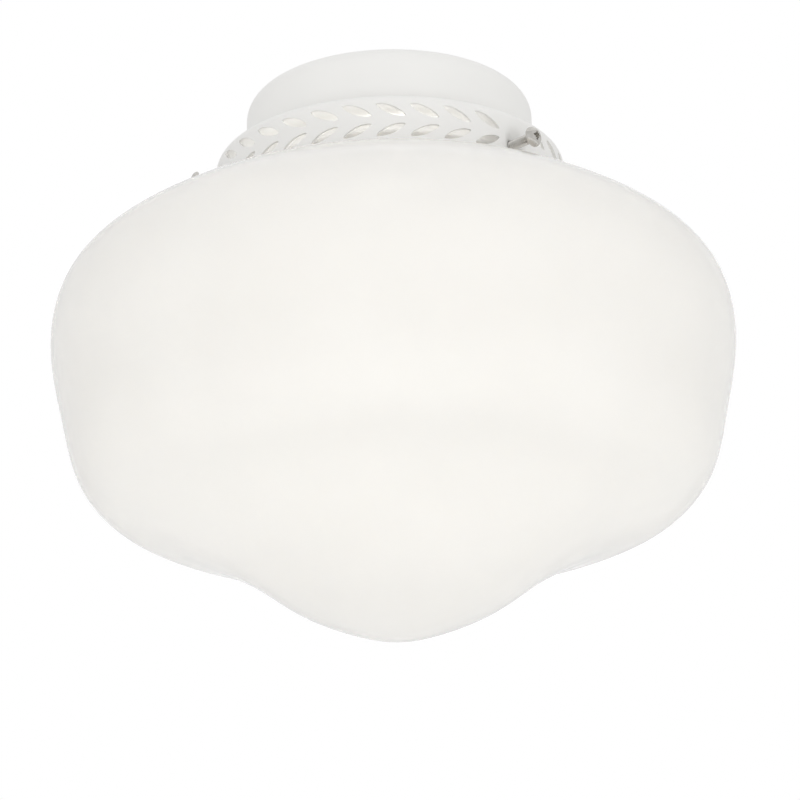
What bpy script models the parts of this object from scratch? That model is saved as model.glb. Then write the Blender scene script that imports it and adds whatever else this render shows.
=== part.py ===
# Light kit for a ceiling fan, with an opal schoolhouse globe
# Lengths are in metres, +Z is up. The origin is the centre of the pan's top face,
# where the kit seats against the fan, and everything hangs below it.
# The view from the front looks along +Y. An azimuth is counted from -Y towards +X.

import bpy
import bmesh
import math
from mathutils import Matrix, Vector

# Clearances shared by all pieces
SEAT_GAP = 0.0003
BORE_CLEARANCE = 0.0003
CUT_OVERRUN = 0.002
MERGE_DISTANCE = 0.00001

# Fitter pan: a drawn cup, closed at the top
PAN_RADIUS = 0.0488
PAN_HEIGHT = 0.0230
PAN_CORNER_RADIUS = 0.0072
PAN_WALL = 0.0008
PAN_COINED_RADIUS = 0.0100
PAN_COINED_DEPTH = 0.0002

# Fitter skirt: the stamped holder of the globe
SKIRT_RADIUS = 0.0592
SKIRT_HEIGHT = 0.0207
SKIRT_CORNER_RADIUS = 0.0032
SKIRT_WALL = 0.0009
SKIRT_HEM_HEIGHT = 0.0016
SKIRT_HEM_WIDTH = 0.0018
WIRE_HOLE_RADIUS = 0.0065

# Leaf vents, in pairs round the skirt, with a wider gap in each sector for a screw
SCREW_COUNT = 3
LEAVES_PER_SECTOR = 10
LEAF_PITCH = math.radians(10.787)
LEAF_LENGTH = 0.0104
LEAF_HALF_WIDTH = 0.00145
LEAF_POINTEDNESS = 0.65
LEAF_TIP_DROP = 0.0041
LEAF_BAND_GAP = 0.0030
LEAF_TOP_DEPTH = 0.0039
LEAF_EDGE_SPANS = 4

# Pressed dimples and tapped collars of the skirt
SCREW_FIRST_AZIMUTH = math.radians(44.4)
SCREW_DEPTH_BELOW_PLATE = 0.0117
DIMPLE_DEPTH = 0.0027
DIMPLE_HALF_WIDTH = 0.0052
DIMPLE_HALF_HEIGHT = 0.0074
COLLAR_RADIUS = 0.0033
COLLAR_LENGTH = 0.0026

# Globe screws, no. 6-32 by 3/4 in, pan head, with their tips under the globe's lip
GLOBE_SCREW_RADIUS = 0.00175
GLOBE_SCREW_LENGTH = 0.01905
GLOBE_SCREW_HEAD_RADIUS = 0.00345
GLOBE_SCREW_HEAD_HEIGHT = 0.0023
GLOBE_SCREW_NECK_GAP = 0.0015

# Outline of a pan head, as shares of its radius and of its height, and the depth of its recess
PAN_HEAD_SHARES = (
    (0.00, 1.00),
    (0.62, 0.92),
    (0.90, 0.67),
    (1.00, 0.33),
    (0.97, 0.00),
)
RECESS_DEPTH_SHARE = 0.45

# Glass globe, whose lip and neck follow the skirt that holds them
LIP_CLEARANCE = 0.0084
LIP_OVERHANG = 0.0045
LIP_HEIGHT = 0.0050
LIP_EDGE_RADIUS = 0.0008
LIP_RADIUS = SKIRT_RADIUS - LIP_CLEARANCE
NECK_RADIUS = LIP_RADIUS - LIP_OVERHANG
GLASS_WALL = 0.0030
NECK_FILLET = 0.0050
GLOBE_RADIUS = 0.1143
GLOBE_BODY_HEIGHT = 0.1459
SHOULDER_CLEARANCE = 0.0008

# Outer outline of the globe's body, as shares of its radius and of its height:
# from the neck's foot over the shoulder and the tapered side to the small dome
GLOBE_OUTLINE_SHARES = (
    (0.655, 0.020),
    (0.810, 0.078),
    (0.951, 0.169),
    (1.000, 0.313),
    (0.969, 0.470),
    (0.929, 0.597),
    (0.869, 0.668),
    (0.795, 0.705),
    (0.660, 0.745),
    (0.500, 0.810),
    (0.400, 0.863),
    (0.300, 0.918),
    (0.160, 0.970),
)

# Threaded stem with its nuts and washers, 1/8-IP
STEM_RADIUS = 0.00515
STEM_BORE_RADIUS = 0.0035
STEM_ABOVE_PAN = 0.0132
STEM_BELOW_PAN = 0.0094
FAN_PLATE_THICKNESS = 0.0015
NUT_ACROSS_FLATS = 0.0143
NUT_HEIGHT = 0.0032
WASHER_RADIUS = 0.0078
WASHER_THICKNESS = 0.0010
WASHER_TOOTH_DEPTH = 0.0011
WASHER_TOOTH_COUNT = 10

# Crossbar
CROSSBAR_WIDTH = 0.0140
CROSSBAR_THICKNESS = 0.0015
CROSSBAR_LEG_REACH = 0.0220
CROSSBAR_FOOT_REACH = 0.0365
CROSSBAR_BEND_RADIUS = 0.0026
FITTER_BOLT_REACH = 0.0300

# Bolts of the fitter, no. 8-32 by 3/8 in
FITTER_BOLT_RADIUS = 0.00208
FITTER_BOLT_LENGTH = 0.0095
FITTER_BOLT_HEAD_RADIUS = 0.0040
FITTER_BOLT_HEAD_HEIGHT = 0.0025

# Wire bushing
BUSHING_BORE_RADIUS = 0.0048
BUSHING_FLANGE_RADIUS = 0.0082
BUSHING_FLANGE_THICKNESS = 0.0012

# Lampholder
HOLDER_TOP_RADIUS = 0.0190
HOLDER_WAIST_RADIUS = 0.0176
HOLDER_RIM_RADIUS = 0.0200
HOLDER_HEIGHT = 0.0416
HOLDER_TOP_BAND = 0.0120
HOLDER_RIM_BAND = 0.0090
HOLDER_EDGE_RADIUS = 0.0010
HOLDER_BORE_RADIUS = 0.0144
HOLDER_WELL_RADIUS = 0.0085
HOLDER_WELL_DEPTH = 0.0086
HOLDER_FLOOR_THICKNESS = 0.0055
HOLDER_BOLT_REACH = 0.0122
HOLDER_BOLT_RADIUS = 0.00175
HOLDER_BOLT_LENGTH = 0.0111
HOLDER_BOLT_HEAD_RADIUS = 0.0034
HOLDER_BOLT_HEAD_HEIGHT = 0.0021

# Lamp thread, contact and rivets of the lampholder
SHELL_WALL = 0.0005
SHELL_LENGTH = 0.0257
SHELL_EYE_RADIUS = 0.0040
CONTACT_WIDTH = 0.0050
CONTACT_THICKNESS = 0.0005
CONTACT_HALF_LENGTH = 0.0024
CONTACT_TONGUE_REACH = 0.0040
CONTACT_TONGUE_DROP = 0.0027
RIVET_RADIUS = 0.0011
RIVET_HEAD_RADIUS = 0.0018
RIVET_HEAD_HEIGHT = 0.0009
NEUTRAL_RIVET_REACH = 0.0062

# Lamp, A19 with a medium screw cap
LAMP_LENGTH = 0.1080
LAMP_RADIUS = 0.0300
LAMP_NECK_RADIUS = 0.0122
LAMP_GLASS_WALL = 0.0009
LAMP_CAP_RADIUS = 0.01305
LAMP_CAP_WALL = 0.0005
LAMP_CAP_LENGTH = 0.0220
LAMP_CAP_SHOULDER = 0.0026
LAMP_CAP_EYE_RADIUS = 0.0052
LAMP_CAP_FLARE = 0.0004
LAMP_CONTACT_GAP = 0.0004
LAMP_CONTACT_RADIUS = 0.0038
LAMP_CONTACT_HEIGHT = 0.0010
LAMP_CONTACT_PIN_RADIUS = 0.0009
LAMP_CONTACT_PIN_LENGTH = 0.0040
LAMP_INSULATOR_RADIUS = 0.0095
LAMP_INSULATOR_TOP_RADIUS = 0.0045
LAMP_INSULATOR_HEIGHT = 0.0017
LAMP_NECK_IN_CAP = 0.0155

# Outline of the lamp's glass below its cap, as shares of its radius and of its visible length
LAMP_OUTLINE_SHARES = (
    (0.447, 0.050),
    (0.560, 0.170),
    (0.740, 0.315),
    (0.900, 0.450),
    (0.985, 0.580),
    (0.995, 0.680),
    (0.930, 0.790),
    (0.760, 0.890),
    (0.440, 0.970),
)

# Leads and connectors
LEAD_RADIUS = 0.0010
CONNECTOR_LENGTH = 0.0160
CONNECTOR_MOUTH_RADIUS = 0.0050
CONNECTOR_TIP_RADIUS = 0.0032
CONNECTOR_TIP_EDGE = 0.0008
CONNECTOR_BORE_RADIUS = 0.0024
CONNECTOR_BORE_DEPTH = 0.0090
CONNECTOR_GRIP_DEPTH = 0.0040
CONNECTOR_OFFSET_Y = 0.0240
CONNECTOR_MOUTH_OFFSET_X = 0.0090
CONNECTOR_DEPTH = 0.0140

# Route of the white lead from its rivet, through the bushing and into its connector
WHITE_LEAD_ROUTE = (
    (0.0000, 0.0062, -0.0313),
    (0.0000, 0.0055, -0.0282),
    (0.0000, 0.0034, -0.0240),
    (0.0000, 0.0030, -0.0205),
    (-0.0020, 0.0060, -0.0150),
    (-0.0085, 0.0115, -0.0126),
    (-0.0150, 0.0155, -0.0132),
    (-0.0186, 0.0200, -0.0140),
    (-0.0155, 0.0238, -0.0140),
    (-0.0100, 0.0240, -0.0140),
    (-0.0010, 0.0240, -0.0140),
)

# Route of the black lead, from the rivet in the middle to the opposite connector
BLACK_LEAD_ROUTE = (
    (0.0000, 0.0000, -0.0313),
    (0.0000, -0.0012, -0.0282),
    (0.0000, -0.0028, -0.0240),
    (0.0000, -0.0030, -0.0205),
    (0.0020, -0.0060, -0.0150),
    (0.0085, -0.0115, -0.0126),
    (0.0150, -0.0155, -0.0132),
    (0.0186, -0.0200, -0.0140),
    (0.0155, -0.0238, -0.0140),
    (0.0100, -0.0240, -0.0140),
    (0.0010, -0.0240, -0.0140),
)

# Facet counts
SKIRT_SEGMENTS = 48
GLOBE_SEGMENTS = 36
PAN_SEGMENTS = 36
HOLDER_SEGMENTS = 20
LAMP_SEGMENTS = 16
STEM_SEGMENTS = 16
SMALL_SEGMENTS = 10
CORNER_STEPS = 3
DIMPLE_RINGS = 4
OUTLINE_STEPS = 2
ROUTE_STEPS = 2

# Heights that follow from the sizes above
PLATE_TOP = -(PAN_HEIGHT + SEAT_GAP)
PLATE_BOTTOM = PLATE_TOP - SKIRT_WALL
SKIRT_BOTTOM = PLATE_TOP - SKIRT_HEIGHT
SCREW_Z = PLATE_TOP - SCREW_DEPTH_BELOW_PLATE
LIP_BOTTOM = SCREW_Z + GLOBE_SCREW_RADIUS + SEAT_GAP
LIP_TOP = LIP_BOTTOM + LIP_HEIGHT
SHOULDER_Z = SKIRT_BOTTOM - SHOULDER_CLEARANCE
HOLDER_TOP = PLATE_BOTTOM - SEAT_GAP
WELL_FLOOR = HOLDER_TOP - HOLDER_WELL_DEPTH
BORE_FLOOR = WELL_FLOOR - HOLDER_FLOOR_THICKNESS
SHELL_TOP = BORE_FLOOR - SEAT_GAP
CONTACT_TOP = BORE_FLOOR - SEAT_GAP
LAMP_TOP = CONTACT_TOP - CONTACT_TONGUE_DROP - CONTACT_THICKNESS - LAMP_CONTACT_GAP
CROSSBAR_TOP = -(PAN_WALL + SEAT_GAP)
CROSSBAR_FOOT_BOTTOM = PLATE_TOP + SEAT_GAP


# Scene, collections and materials

def clear_scene():
    for item in list(bpy.data.objects):
        bpy.data.objects.remove(item, do_unlink=True)


def new_collection(name):
    collection = bpy.data.collections.new(name)
    bpy.context.scene.collection.children.link(collection)
    return collection


def new_material(name, color, roughness, metallic):
    material = bpy.data.materials.new(name)
    material.use_nodes = True
    shader = material.node_tree.nodes["Principled BSDF"]
    shader.inputs["Base Color"].default_value = (*color, 1.0)
    shader.inputs["Roughness"].default_value = roughness
    shader.inputs["Metallic"].default_value = metallic
    material.diffuse_color = (*color, 1.0)
    return material


clear_scene()
PARTS = new_collection("ceiling_fan_light_kit")
CUTTERS = new_collection("cutters")

WHITE_PAINT = new_material("white_paint", (0.84, 0.84, 0.83), 0.35, 0.0)
OPAL_GLASS = new_material("opal_glass", (0.93, 0.92, 0.90), 0.12, 0.0)
NICKEL = new_material("nickel", (0.66, 0.64, 0.60), 0.18, 1.0)
ZINC = new_material("zinc", (0.62, 0.63, 0.64), 0.35, 1.0)
BRASS = new_material("brass", (0.78, 0.60, 0.30), 0.28, 1.0)
PORCELAIN = new_material("porcelain", (0.88, 0.87, 0.84), 0.15, 0.0)
ALUMINIUM = new_material("aluminium", (0.80, 0.80, 0.80), 0.30, 1.0)
BLACK_GLASS = new_material("black_glass", (0.02, 0.02, 0.03), 0.15, 0.0)
FROSTED_GLASS = new_material("frosted_glass", (0.92, 0.92, 0.91), 0.40, 0.0)
BLACK_PLASTIC = new_material("black_plastic", (0.03, 0.03, 0.03), 0.45, 0.0)
WHITE_PLASTIC = new_material("white_plastic", (0.80, 0.80, 0.78), 0.45, 0.0)
GREY_PLASTIC = new_material("grey_plastic", (0.45, 0.46, 0.48), 0.50, 0.0)


# Objects and modelling helpers

def add_part(name, data, material, frame=None):
    part = bpy.data.objects.new(name, data)
    PARTS.objects.link(part)
    if not data.materials:
        data.materials.append(material)
    if frame is not None:
        part.matrix_world = frame
    return part


def add_cutter(name, data):
    cutter = bpy.data.objects.new(name, data)
    CUTTERS.objects.link(cutter)
    cutter.hide_render = True
    cutter.display_type = 'WIRE'
    return cutter


def frozen_mesh(item):
    """The evaluated mesh of an object, in place of the object itself."""
    bpy.context.view_layer.update()
    graph = bpy.context.evaluated_depsgraph_get()
    mesh = bpy.data.meshes.new_from_object(item.evaluated_get(graph))
    mesh.transform(item.matrix_world)
    bpy.data.objects.remove(item, do_unlink=True)
    weld = bmesh.new()
    weld.from_mesh(mesh)
    bmesh.ops.remove_doubles(weld, verts=weld.verts, dist=MERGE_DISTANCE)
    weld.to_mesh(mesh)
    weld.free()
    return mesh


def joined_copies(name, mesh, frames):
    """One mesh that holds a copy of another at each of the frames."""
    joined = bmesh.new()
    for frame in frames:
        copy = mesh.copy()
        copy.transform(frame)
        joined.from_mesh(copy)
        bpy.data.meshes.remove(copy)
    result = bpy.data.meshes.new(name)
    joined.to_mesh(result)
    joined.free()
    return result


def boolean(part, cutter, operation='DIFFERENCE'):
    change = part.modifiers.new(cutter.name, 'BOOLEAN')
    change.operation = operation
    change.solver = 'EXACT'
    change.object = cutter


def profile_mesh(name, outline, closed):
    """A chain of edges in the XZ plane, from (radius, height) points."""
    mesh = bpy.data.meshes.new(name)
    edges = [(index, index + 1) for index in range(len(outline) - 1)]
    if closed:
        edges.append((len(outline) - 1, 0))
    mesh.from_pydata([(radius, 0.0, height) for radius, height in outline], edges, [])
    return mesh


def turn(item, segments):
    """Turns an object's profile once round its Z axis."""
    screw = item.modifiers.new("turned", 'SCREW')
    screw.axis = 'Z'
    screw.steps = segments
    screw.render_steps = segments
    screw.use_merge_vertices = True
    screw.merge_threshold = MERGE_DISTANCE
    screw.use_smooth_shade = False


def turned_part(name, outline, closed, segments, material, frame=None):
    part = add_part(name, profile_mesh(name, outline, closed), material, frame)
    turn(part, segments)
    return part


def turned_mesh(name, outline, closed, segments):
    item = add_cutter(name, profile_mesh(name, outline, closed))
    turn(item, segments)
    return frozen_mesh(item)


def rod_mesh(name, radius, low, high, segments):
    """A cylinder along Z between two heights."""
    mesh = bpy.data.meshes.new(name)
    rod = bmesh.new()
    place = Matrix.Translation((0.0, 0.0, (low + high) / 2))
    bmesh.ops.create_cone(rod, cap_ends=True, segments=segments, radius1=radius,
                          radius2=radius, depth=high - low, matrix=place)
    rod.to_mesh(mesh)
    rod.free()
    return mesh


def flat_mesh(name, outlines, thickness):
    """A flat plate in the XY plane from closed outlines; the inner ones are holes."""
    curve = bpy.data.curves.new(name, 'CURVE')
    curve.dimensions = '2D'
    curve.fill_mode = 'BOTH'
    curve.extrude = thickness / 2
    for outline in outlines:
        spline = curve.splines.new('POLY')
        spline.points.add(len(outline) - 1)
        for point, (x, y) in zip(spline.points, outline):
            point.co = (x, y, 0.0, 1.0)
        spline.use_cyclic_u = True
    return frozen_mesh(add_cutter(name, curve))


def arc(centre, radius, start, end, steps):
    """Points on an arc, in degrees from the first axis towards the second."""
    points = []
    for index in range(steps + 1):
        angle = math.radians(start + (end - start) * index / steps)
        points.append((centre[0] + radius * math.cos(angle),
                       centre[1] + radius * math.sin(angle)))
    return points


def smooth_path(points, steps):
    """A Catmull-Rom curve through the points, without the first and last of them."""
    path = []
    for before, start, end, after in zip(points, points[1:], points[2:], points[3:]):
        for index in range(steps):
            t = index / steps
            path.append(start * (2 - 5 * t**2 + 3 * t**3) / 2
                        + end * (t + 4 * t**2 - 3 * t**3) / 2
                        + before * (-t + 2 * t**2 - t**3) / 2
                        + after * (-t**2 + t**3) / 2)
    path.append(points[-2])
    return path


def offset_outline(outline, distance):
    """The outline moved sideways, to the right of its direction."""
    moved = []
    for index, point in enumerate(outline):
        before = Vector(outline[max(index - 1, 0)])
        after = Vector(outline[min(index + 1, len(outline) - 1)])
        along = (after - before).normalized()
        moved.append((point[0] + along.y * distance, point[1] - along.x * distance))
    return moved


def drill_holes(part, name, radius, places, low, high, segments):
    """Cuts round holes along Z through a part, at (x, y) places and between two heights."""
    drill = rod_mesh(name + "_drill", radius, low, high, segments)
    frames = [Matrix.Translation((x, y, 0.0)) for x, y in places]
    boolean(part, add_cutter(name, joined_copies(name, drill, frames)))


def both_sides(reach):
    return [(-reach, 0.0), (reach, 0.0)]


def radial_frame(azimuth, height):
    """A frame whose Z points outwards at an azimuth, with Y up and X along the wall."""
    outward = Vector((math.sin(azimuth), -math.cos(azimuth), 0.0))
    along = Vector((math.cos(azimuth), math.sin(azimuth), 0.0))
    frame = Matrix.Identity(4)
    for row in range(3):
        frame[row][0] = along[row]
        frame[row][1] = (0.0, 0.0, 1.0)[row]
        frame[row][2] = outward[row]
    frame.translation = (0.0, 0.0, height)
    return frame


def screw_azimuths():
    return [SCREW_FIRST_AZIMUTH + math.tau * index / SCREW_COUNT for index in range(SCREW_COUNT)]


# Pan

def make_pan():
    rim = -PAN_HEIGHT
    hole = STEM_RADIUS + BORE_CLEARANCE
    corner = (PAN_RADIUS - PAN_CORNER_RADIUS, -PAN_CORNER_RADIUS)
    inner_corner = PAN_CORNER_RADIUS - PAN_WALL
    outline = [(hole, -PAN_COINED_DEPTH), (PAN_COINED_RADIUS, -PAN_COINED_DEPTH),
               (PAN_COINED_RADIUS + PAN_COINED_DEPTH, 0.0)]
    outline += arc(corner, PAN_CORNER_RADIUS, 90, 0, CORNER_STEPS)
    outline += [(PAN_RADIUS, rim), (PAN_RADIUS - PAN_WALL, rim)]
    outline += arc(corner, inner_corner, 0, 90, CORNER_STEPS)
    outline += [(hole, -PAN_WALL)]
    turned_part("fitter_pan", outline, True, PAN_SEGMENTS, WHITE_PAINT)


# Skirt with its vents, dimples, collars and holes

def leaf_outline():
    """A leaf from one tip at the origin to the other, along +X."""
    upper = []
    for index in range(LEAF_EDGE_SPANS + 1):
        share = (1 - math.cos(math.pi * index / LEAF_EDGE_SPANS)) / 2
        half_width = LEAF_HALF_WIDTH * (4 * share * (1 - share)) ** LEAF_POINTEDNESS
        upper.append((LEAF_LENGTH * share, half_width))
    lower = [(x, -y) for x, y in reversed(upper[1:-1])]
    return upper + lower


def leaf_frames():
    """The upper and the lower leaf of each pair slant towards each other."""
    lead = (math.tau / SCREW_COUNT - LEAF_PITCH * (LEAVES_PER_SECTOR - 1)) / 2
    slant = math.asin(LEAF_TIP_DROP / LEAF_LENGTH)
    reach = LEAF_LENGTH * math.cos(slant)
    middle = PLATE_TOP - LEAF_TOP_DEPTH - LEAF_TIP_DROP - LEAF_BAND_GAP / 2
    frames = []
    for first in screw_azimuths():
        for place in range(LEAVES_PER_SECTOR):
            for side in (1, -1):
                height = middle + side * (LEAF_BAND_GAP / 2 + LEAF_TIP_DROP)
                wall = radial_frame(first + lead + LEAF_PITCH * place, height)
                tip = Matrix.Translation((-reach / 2, 0.0, SKIRT_RADIUS))
                frames.append(wall @ tip @ Matrix.Rotation(-side * slant, 4, 'Z'))
    return frames


def dimple_outline(face, close_at):
    """Half section of a dimple: a soft bell that sinks from a face, closed at a height."""
    outline = []
    for index in range(DIMPLE_RINGS + 1):
        share = index / DIMPLE_RINGS
        sink = DIMPLE_DEPTH * (1 + math.cos(math.pi * share)) / 2
        outline.append((DIMPLE_HALF_WIDTH * share, face - sink))
    outline.append((DIMPLE_HALF_WIDTH, close_at))
    outline.append((0.0, close_at))
    outline.reverse()
    return outline


def dimple_mesh(name, face, close_at):
    mesh = turned_mesh(name, dimple_outline(face, close_at), False, SMALL_SEGMENTS)
    mesh.transform(Matrix.Diagonal((1.0, DIMPLE_HALF_HEIGHT / DIMPLE_HALF_WIDTH, 1.0, 1.0)))
    return mesh


def skirt_outline():
    outer = SKIRT_RADIUS
    inner = SKIRT_RADIUS - SKIRT_WALL
    corner = (SKIRT_RADIUS - SKIRT_CORNER_RADIUS, PLATE_TOP - SKIRT_CORNER_RADIUS)
    hem_top = SKIRT_BOTTOM + SKIRT_HEM_HEIGHT
    hem_inside = SKIRT_RADIUS - SKIRT_HEM_WIDTH
    outline = [(WIRE_HOLE_RADIUS, PLATE_TOP)]
    outline += arc(corner, SKIRT_CORNER_RADIUS, 90, 0, CORNER_STEPS)
    outline += [(outer, SKIRT_BOTTOM), (hem_inside, SKIRT_BOTTOM), (hem_inside, hem_top)]
    outline += [(inner, hem_top + SKIRT_WALL / 2)]
    outline += arc(corner, SKIRT_CORNER_RADIUS - SKIRT_WALL, 0, 90, CORNER_STEPS)
    outline += [(WIRE_HOLE_RADIUS, PLATE_BOTTOM)]
    return outline


def make_skirt():
    skirt = turned_part("fitter_skirt", skirt_outline(), True, SKIRT_SEGMENTS, WHITE_PAINT)
    frames = [radial_frame(azimuth, SCREW_Z) for azimuth in screw_azimuths()]
    inside_wall = SKIRT_RADIUS - SKIRT_WALL / 2

    bump = dimple_mesh("dimple_back", inside_wall - SKIRT_WALL, inside_wall)
    boolean(skirt, add_cutter("dimple_backs", joined_copies("dimple_backs", bump, frames)), 'UNION')

    collar_top = SKIRT_RADIUS - DIMPLE_DEPTH - SKIRT_WALL / 2
    collar = rod_mesh("collar", COLLAR_RADIUS, collar_top - COLLAR_LENGTH, collar_top,
                      SMALL_SEGMENTS)
    boolean(skirt, add_cutter("collars", joined_copies("collars", collar, frames)), 'UNION')

    hollow = dimple_mesh("dimple_hollow", SKIRT_RADIUS, SKIRT_RADIUS + CUT_OVERRUN)
    boolean(skirt, add_cutter("dimple_hollows", joined_copies("dimple_hollows", hollow, frames)))

    bore = GLOBE_SCREW_RADIUS + BORE_CLEARANCE
    drill = rod_mesh("screw_drill", bore, collar_top - COLLAR_LENGTH - CUT_OVERRUN,
                     SKIRT_RADIUS + CUT_OVERRUN, SMALL_SEGMENTS)
    boolean(skirt, add_cutter("screw_drills", joined_copies("screw_drills", drill, frames)))

    leaf = flat_mesh("leaf", [leaf_outline()], 2 * (SKIRT_WALL + CUT_OVERRUN))
    boolean(skirt, add_cutter("leaf_vents", joined_copies("leaf_vents", leaf, leaf_frames())))

    for name, reach, radius in (("fitter_bolt_holes", FITTER_BOLT_REACH, FITTER_BOLT_RADIUS),
                                ("holder_bolt_holes", HOLDER_BOLT_REACH, HOLDER_BOLT_RADIUS)):
        drill_holes(skirt, name, radius + BORE_CLEARANCE, both_sides(reach),
                    PLATE_BOTTOM - CUT_OVERRUN, PLATE_TOP + CUT_OVERRUN, SMALL_SEGMENTS)


# Globe

def globe_outer_outline():
    """From the foot of the neck's fillet down the outside to the lowest point."""
    foot = Vector((NECK_RADIUS + NECK_FILLET, SHOULDER_Z))
    body = [foot]
    for radius_share, height_share in GLOBE_OUTLINE_SHARES:
        body.append(Vector((GLOBE_RADIUS * radius_share,
                            SHOULDER_Z - GLOBE_BODY_HEIGHT * height_share)))
    pole = Vector((0.0, SHOULDER_Z - GLOBE_BODY_HEIGHT))
    lead_in = Vector((2 * foot.x - body[1].x, foot.y))
    lead_out = Vector((-body[-1].x, body[-1].y))
    return [tuple(point) for point in smooth_path([lead_in] + body + [pole, lead_out], OUTLINE_STEPS)]


def make_globe():
    outer = globe_outer_outline()
    inner = offset_outline(outer, GLASS_WALL)[::OUTLINE_STEPS]
    inner[0] = (outer[0][0], outer[0][1] - GLASS_WALL)
    inner[-1] = (0.0, outer[-1][1] + GLASS_WALL)
    fillet = (NECK_RADIUS + NECK_FILLET, SHOULDER_Z + NECK_FILLET)
    bore = NECK_RADIUS - GLASS_WALL
    edge = LIP_EDGE_RADIUS
    outline = list(reversed(inner))
    outline += arc(fillet, NECK_FILLET + GLASS_WALL, 270, 180, CORNER_STEPS)[1:]
    outline += arc((bore + edge, LIP_TOP - edge), edge, 180, 90, 2)
    outline += arc((LIP_RADIUS - edge, LIP_TOP - edge), edge, 90, 0, 2)
    outline += arc((LIP_RADIUS - edge, LIP_BOTTOM + edge), edge, 0, -90, 2)
    outline += [(NECK_RADIUS, LIP_BOTTOM)]
    outline += arc(fillet, NECK_FILLET, 180, 270, CORNER_STEPS)[:-1]
    outline += outer
    turned_part("glass_globe", outline, False, GLOBE_SEGMENTS, OPAL_GLASS)


# Screws and bolts

def recess_mesh(name, head_radius, head_top, depth):
    """A cross of two slots, cut into the top of a head."""
    arm = head_radius / 2
    root = head_radius / 8
    tip = root / 2
    quarter = [(arm, tip), (root, root), (tip, arm)]
    cross = []
    for cosine, sine in ((1, 0), (0, 1), (-1, 0), (0, -1)):
        cross += [(x * cosine - y * sine, x * sine + y * cosine) for x, y in quarter]
    mesh = flat_mesh(name, [cross], 2 * depth)
    mesh.transform(Matrix.Translation((0.0, 0.0, head_top)))
    return mesh


def bolt_mesh(name, radius, length, head_radius, head_height):
    """A pan-head bolt along Z, with the underside of its head at the origin."""
    tip = radius / 4
    outline = [(head_radius * radius_share, head_height * height_share)
               for radius_share, height_share in PAN_HEAD_SHARES]
    outline += [(radius, 0.0), (radius, tip - length), (radius - tip, -length), (0.0, -length)]
    blank = add_cutter(name, profile_mesh(name, outline, False))
    turn(blank, SMALL_SEGMENTS)
    recess = recess_mesh(name + "_recess", head_radius, head_height,
                         head_height * RECESS_DEPTH_SHARE)
    cutter = add_cutter(name + "_recess", recess)
    boolean(blank, cutter)
    mesh = frozen_mesh(blank)
    bpy.data.objects.remove(cutter, do_unlink=True)
    return mesh


def make_globe_screws():
    mesh = bolt_mesh("globe_screw", GLOBE_SCREW_RADIUS, GLOBE_SCREW_LENGTH,
                     GLOBE_SCREW_HEAD_RADIUS, GLOBE_SCREW_HEAD_HEIGHT)
    under_head = NECK_RADIUS + GLOBE_SCREW_NECK_GAP + GLOBE_SCREW_LENGTH
    for side, azimuth in zip(("right", "back", "left"), screw_azimuths()):
        frame = radial_frame(azimuth, SCREW_Z) @ Matrix.Translation((0.0, 0.0, under_head))
        add_part("globe_screw_" + side, mesh, NICKEL, frame)


def make_fitter_bolts():
    mesh = bolt_mesh("fitter_bolt", FITTER_BOLT_RADIUS, FITTER_BOLT_LENGTH,
                     FITTER_BOLT_HEAD_RADIUS, FITTER_BOLT_HEAD_HEIGHT)
    mesh.transform(Matrix.Rotation(math.pi, 4, 'X'))
    for side, sign in (("left", -1), ("right", 1)):
        place = Matrix.Translation((sign * FITTER_BOLT_REACH, 0.0, PLATE_BOTTOM - SEAT_GAP))
        add_part("fitter_bolt_" + side, mesh, ZINC, place)


def make_lampholder_bolts():
    mesh = bolt_mesh("lampholder_bolt", HOLDER_BOLT_RADIUS, HOLDER_BOLT_LENGTH,
                     HOLDER_BOLT_HEAD_RADIUS, HOLDER_BOLT_HEAD_HEIGHT)
    for side, sign in (("left", -1), ("right", 1)):
        place = Matrix.Translation((sign * HOLDER_BOLT_REACH, 0.0, PLATE_TOP + SEAT_GAP))
        add_part("lampholder_bolt_" + side, mesh, ZINC, place)


# Stem, nuts, washers and crossbar

def make_stem():
    edge = (STEM_RADIUS - STEM_BORE_RADIUS) / 4
    top = STEM_ABOVE_PAN
    bottom = -STEM_BELOW_PAN
    outline = [(STEM_BORE_RADIUS, top), (STEM_RADIUS - edge, top), (STEM_RADIUS, top - edge),
               (STEM_RADIUS, bottom + edge), (STEM_RADIUS - edge, bottom),
               (STEM_BORE_RADIUS, bottom)]
    turned_part("inlet_stem", outline, True, STEM_SEGMENTS, ZINC)


def ring_points(radius, count):
    return [(radius * math.cos(math.tau * index / count),
             radius * math.sin(math.tau * index / count)) for index in range(count)]


def make_nut(name, top):
    corner = NUT_ACROSS_FLATS / 2 / math.cos(math.pi / 6)
    outlines = [ring_points(corner, 6), ring_points(STEM_RADIUS + BORE_CLEARANCE, STEM_SEGMENTS)]
    mesh = flat_mesh(name, outlines, NUT_HEIGHT)
    add_part(name, mesh, ZINC, Matrix.Translation((0.0, 0.0, top - NUT_HEIGHT / 2)))


def washer_teeth():
    """The inner edge of a tooth lock washer: two points on each tooth, two on each gap."""
    tooth = STEM_RADIUS + BORE_CLEARANCE
    gap = tooth + WASHER_TOOTH_DEPTH
    points = []
    for index in range(WASHER_TOOTH_COUNT):
        for step, radius in enumerate((tooth, tooth, gap, gap)):
            angle = math.tau * (index + step / 4) / WASHER_TOOTH_COUNT
            points.append((radius * math.cos(angle), radius * math.sin(angle)))
    return points


def make_washer(name, top):
    outlines = [ring_points(WASHER_RADIUS, STEM_SEGMENTS), washer_teeth()]
    mesh = flat_mesh(name, outlines, WASHER_THICKNESS)
    add_part(name, mesh, ZINC, Matrix.Translation((0.0, 0.0, top - WASHER_THICKNESS / 2)))


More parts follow.
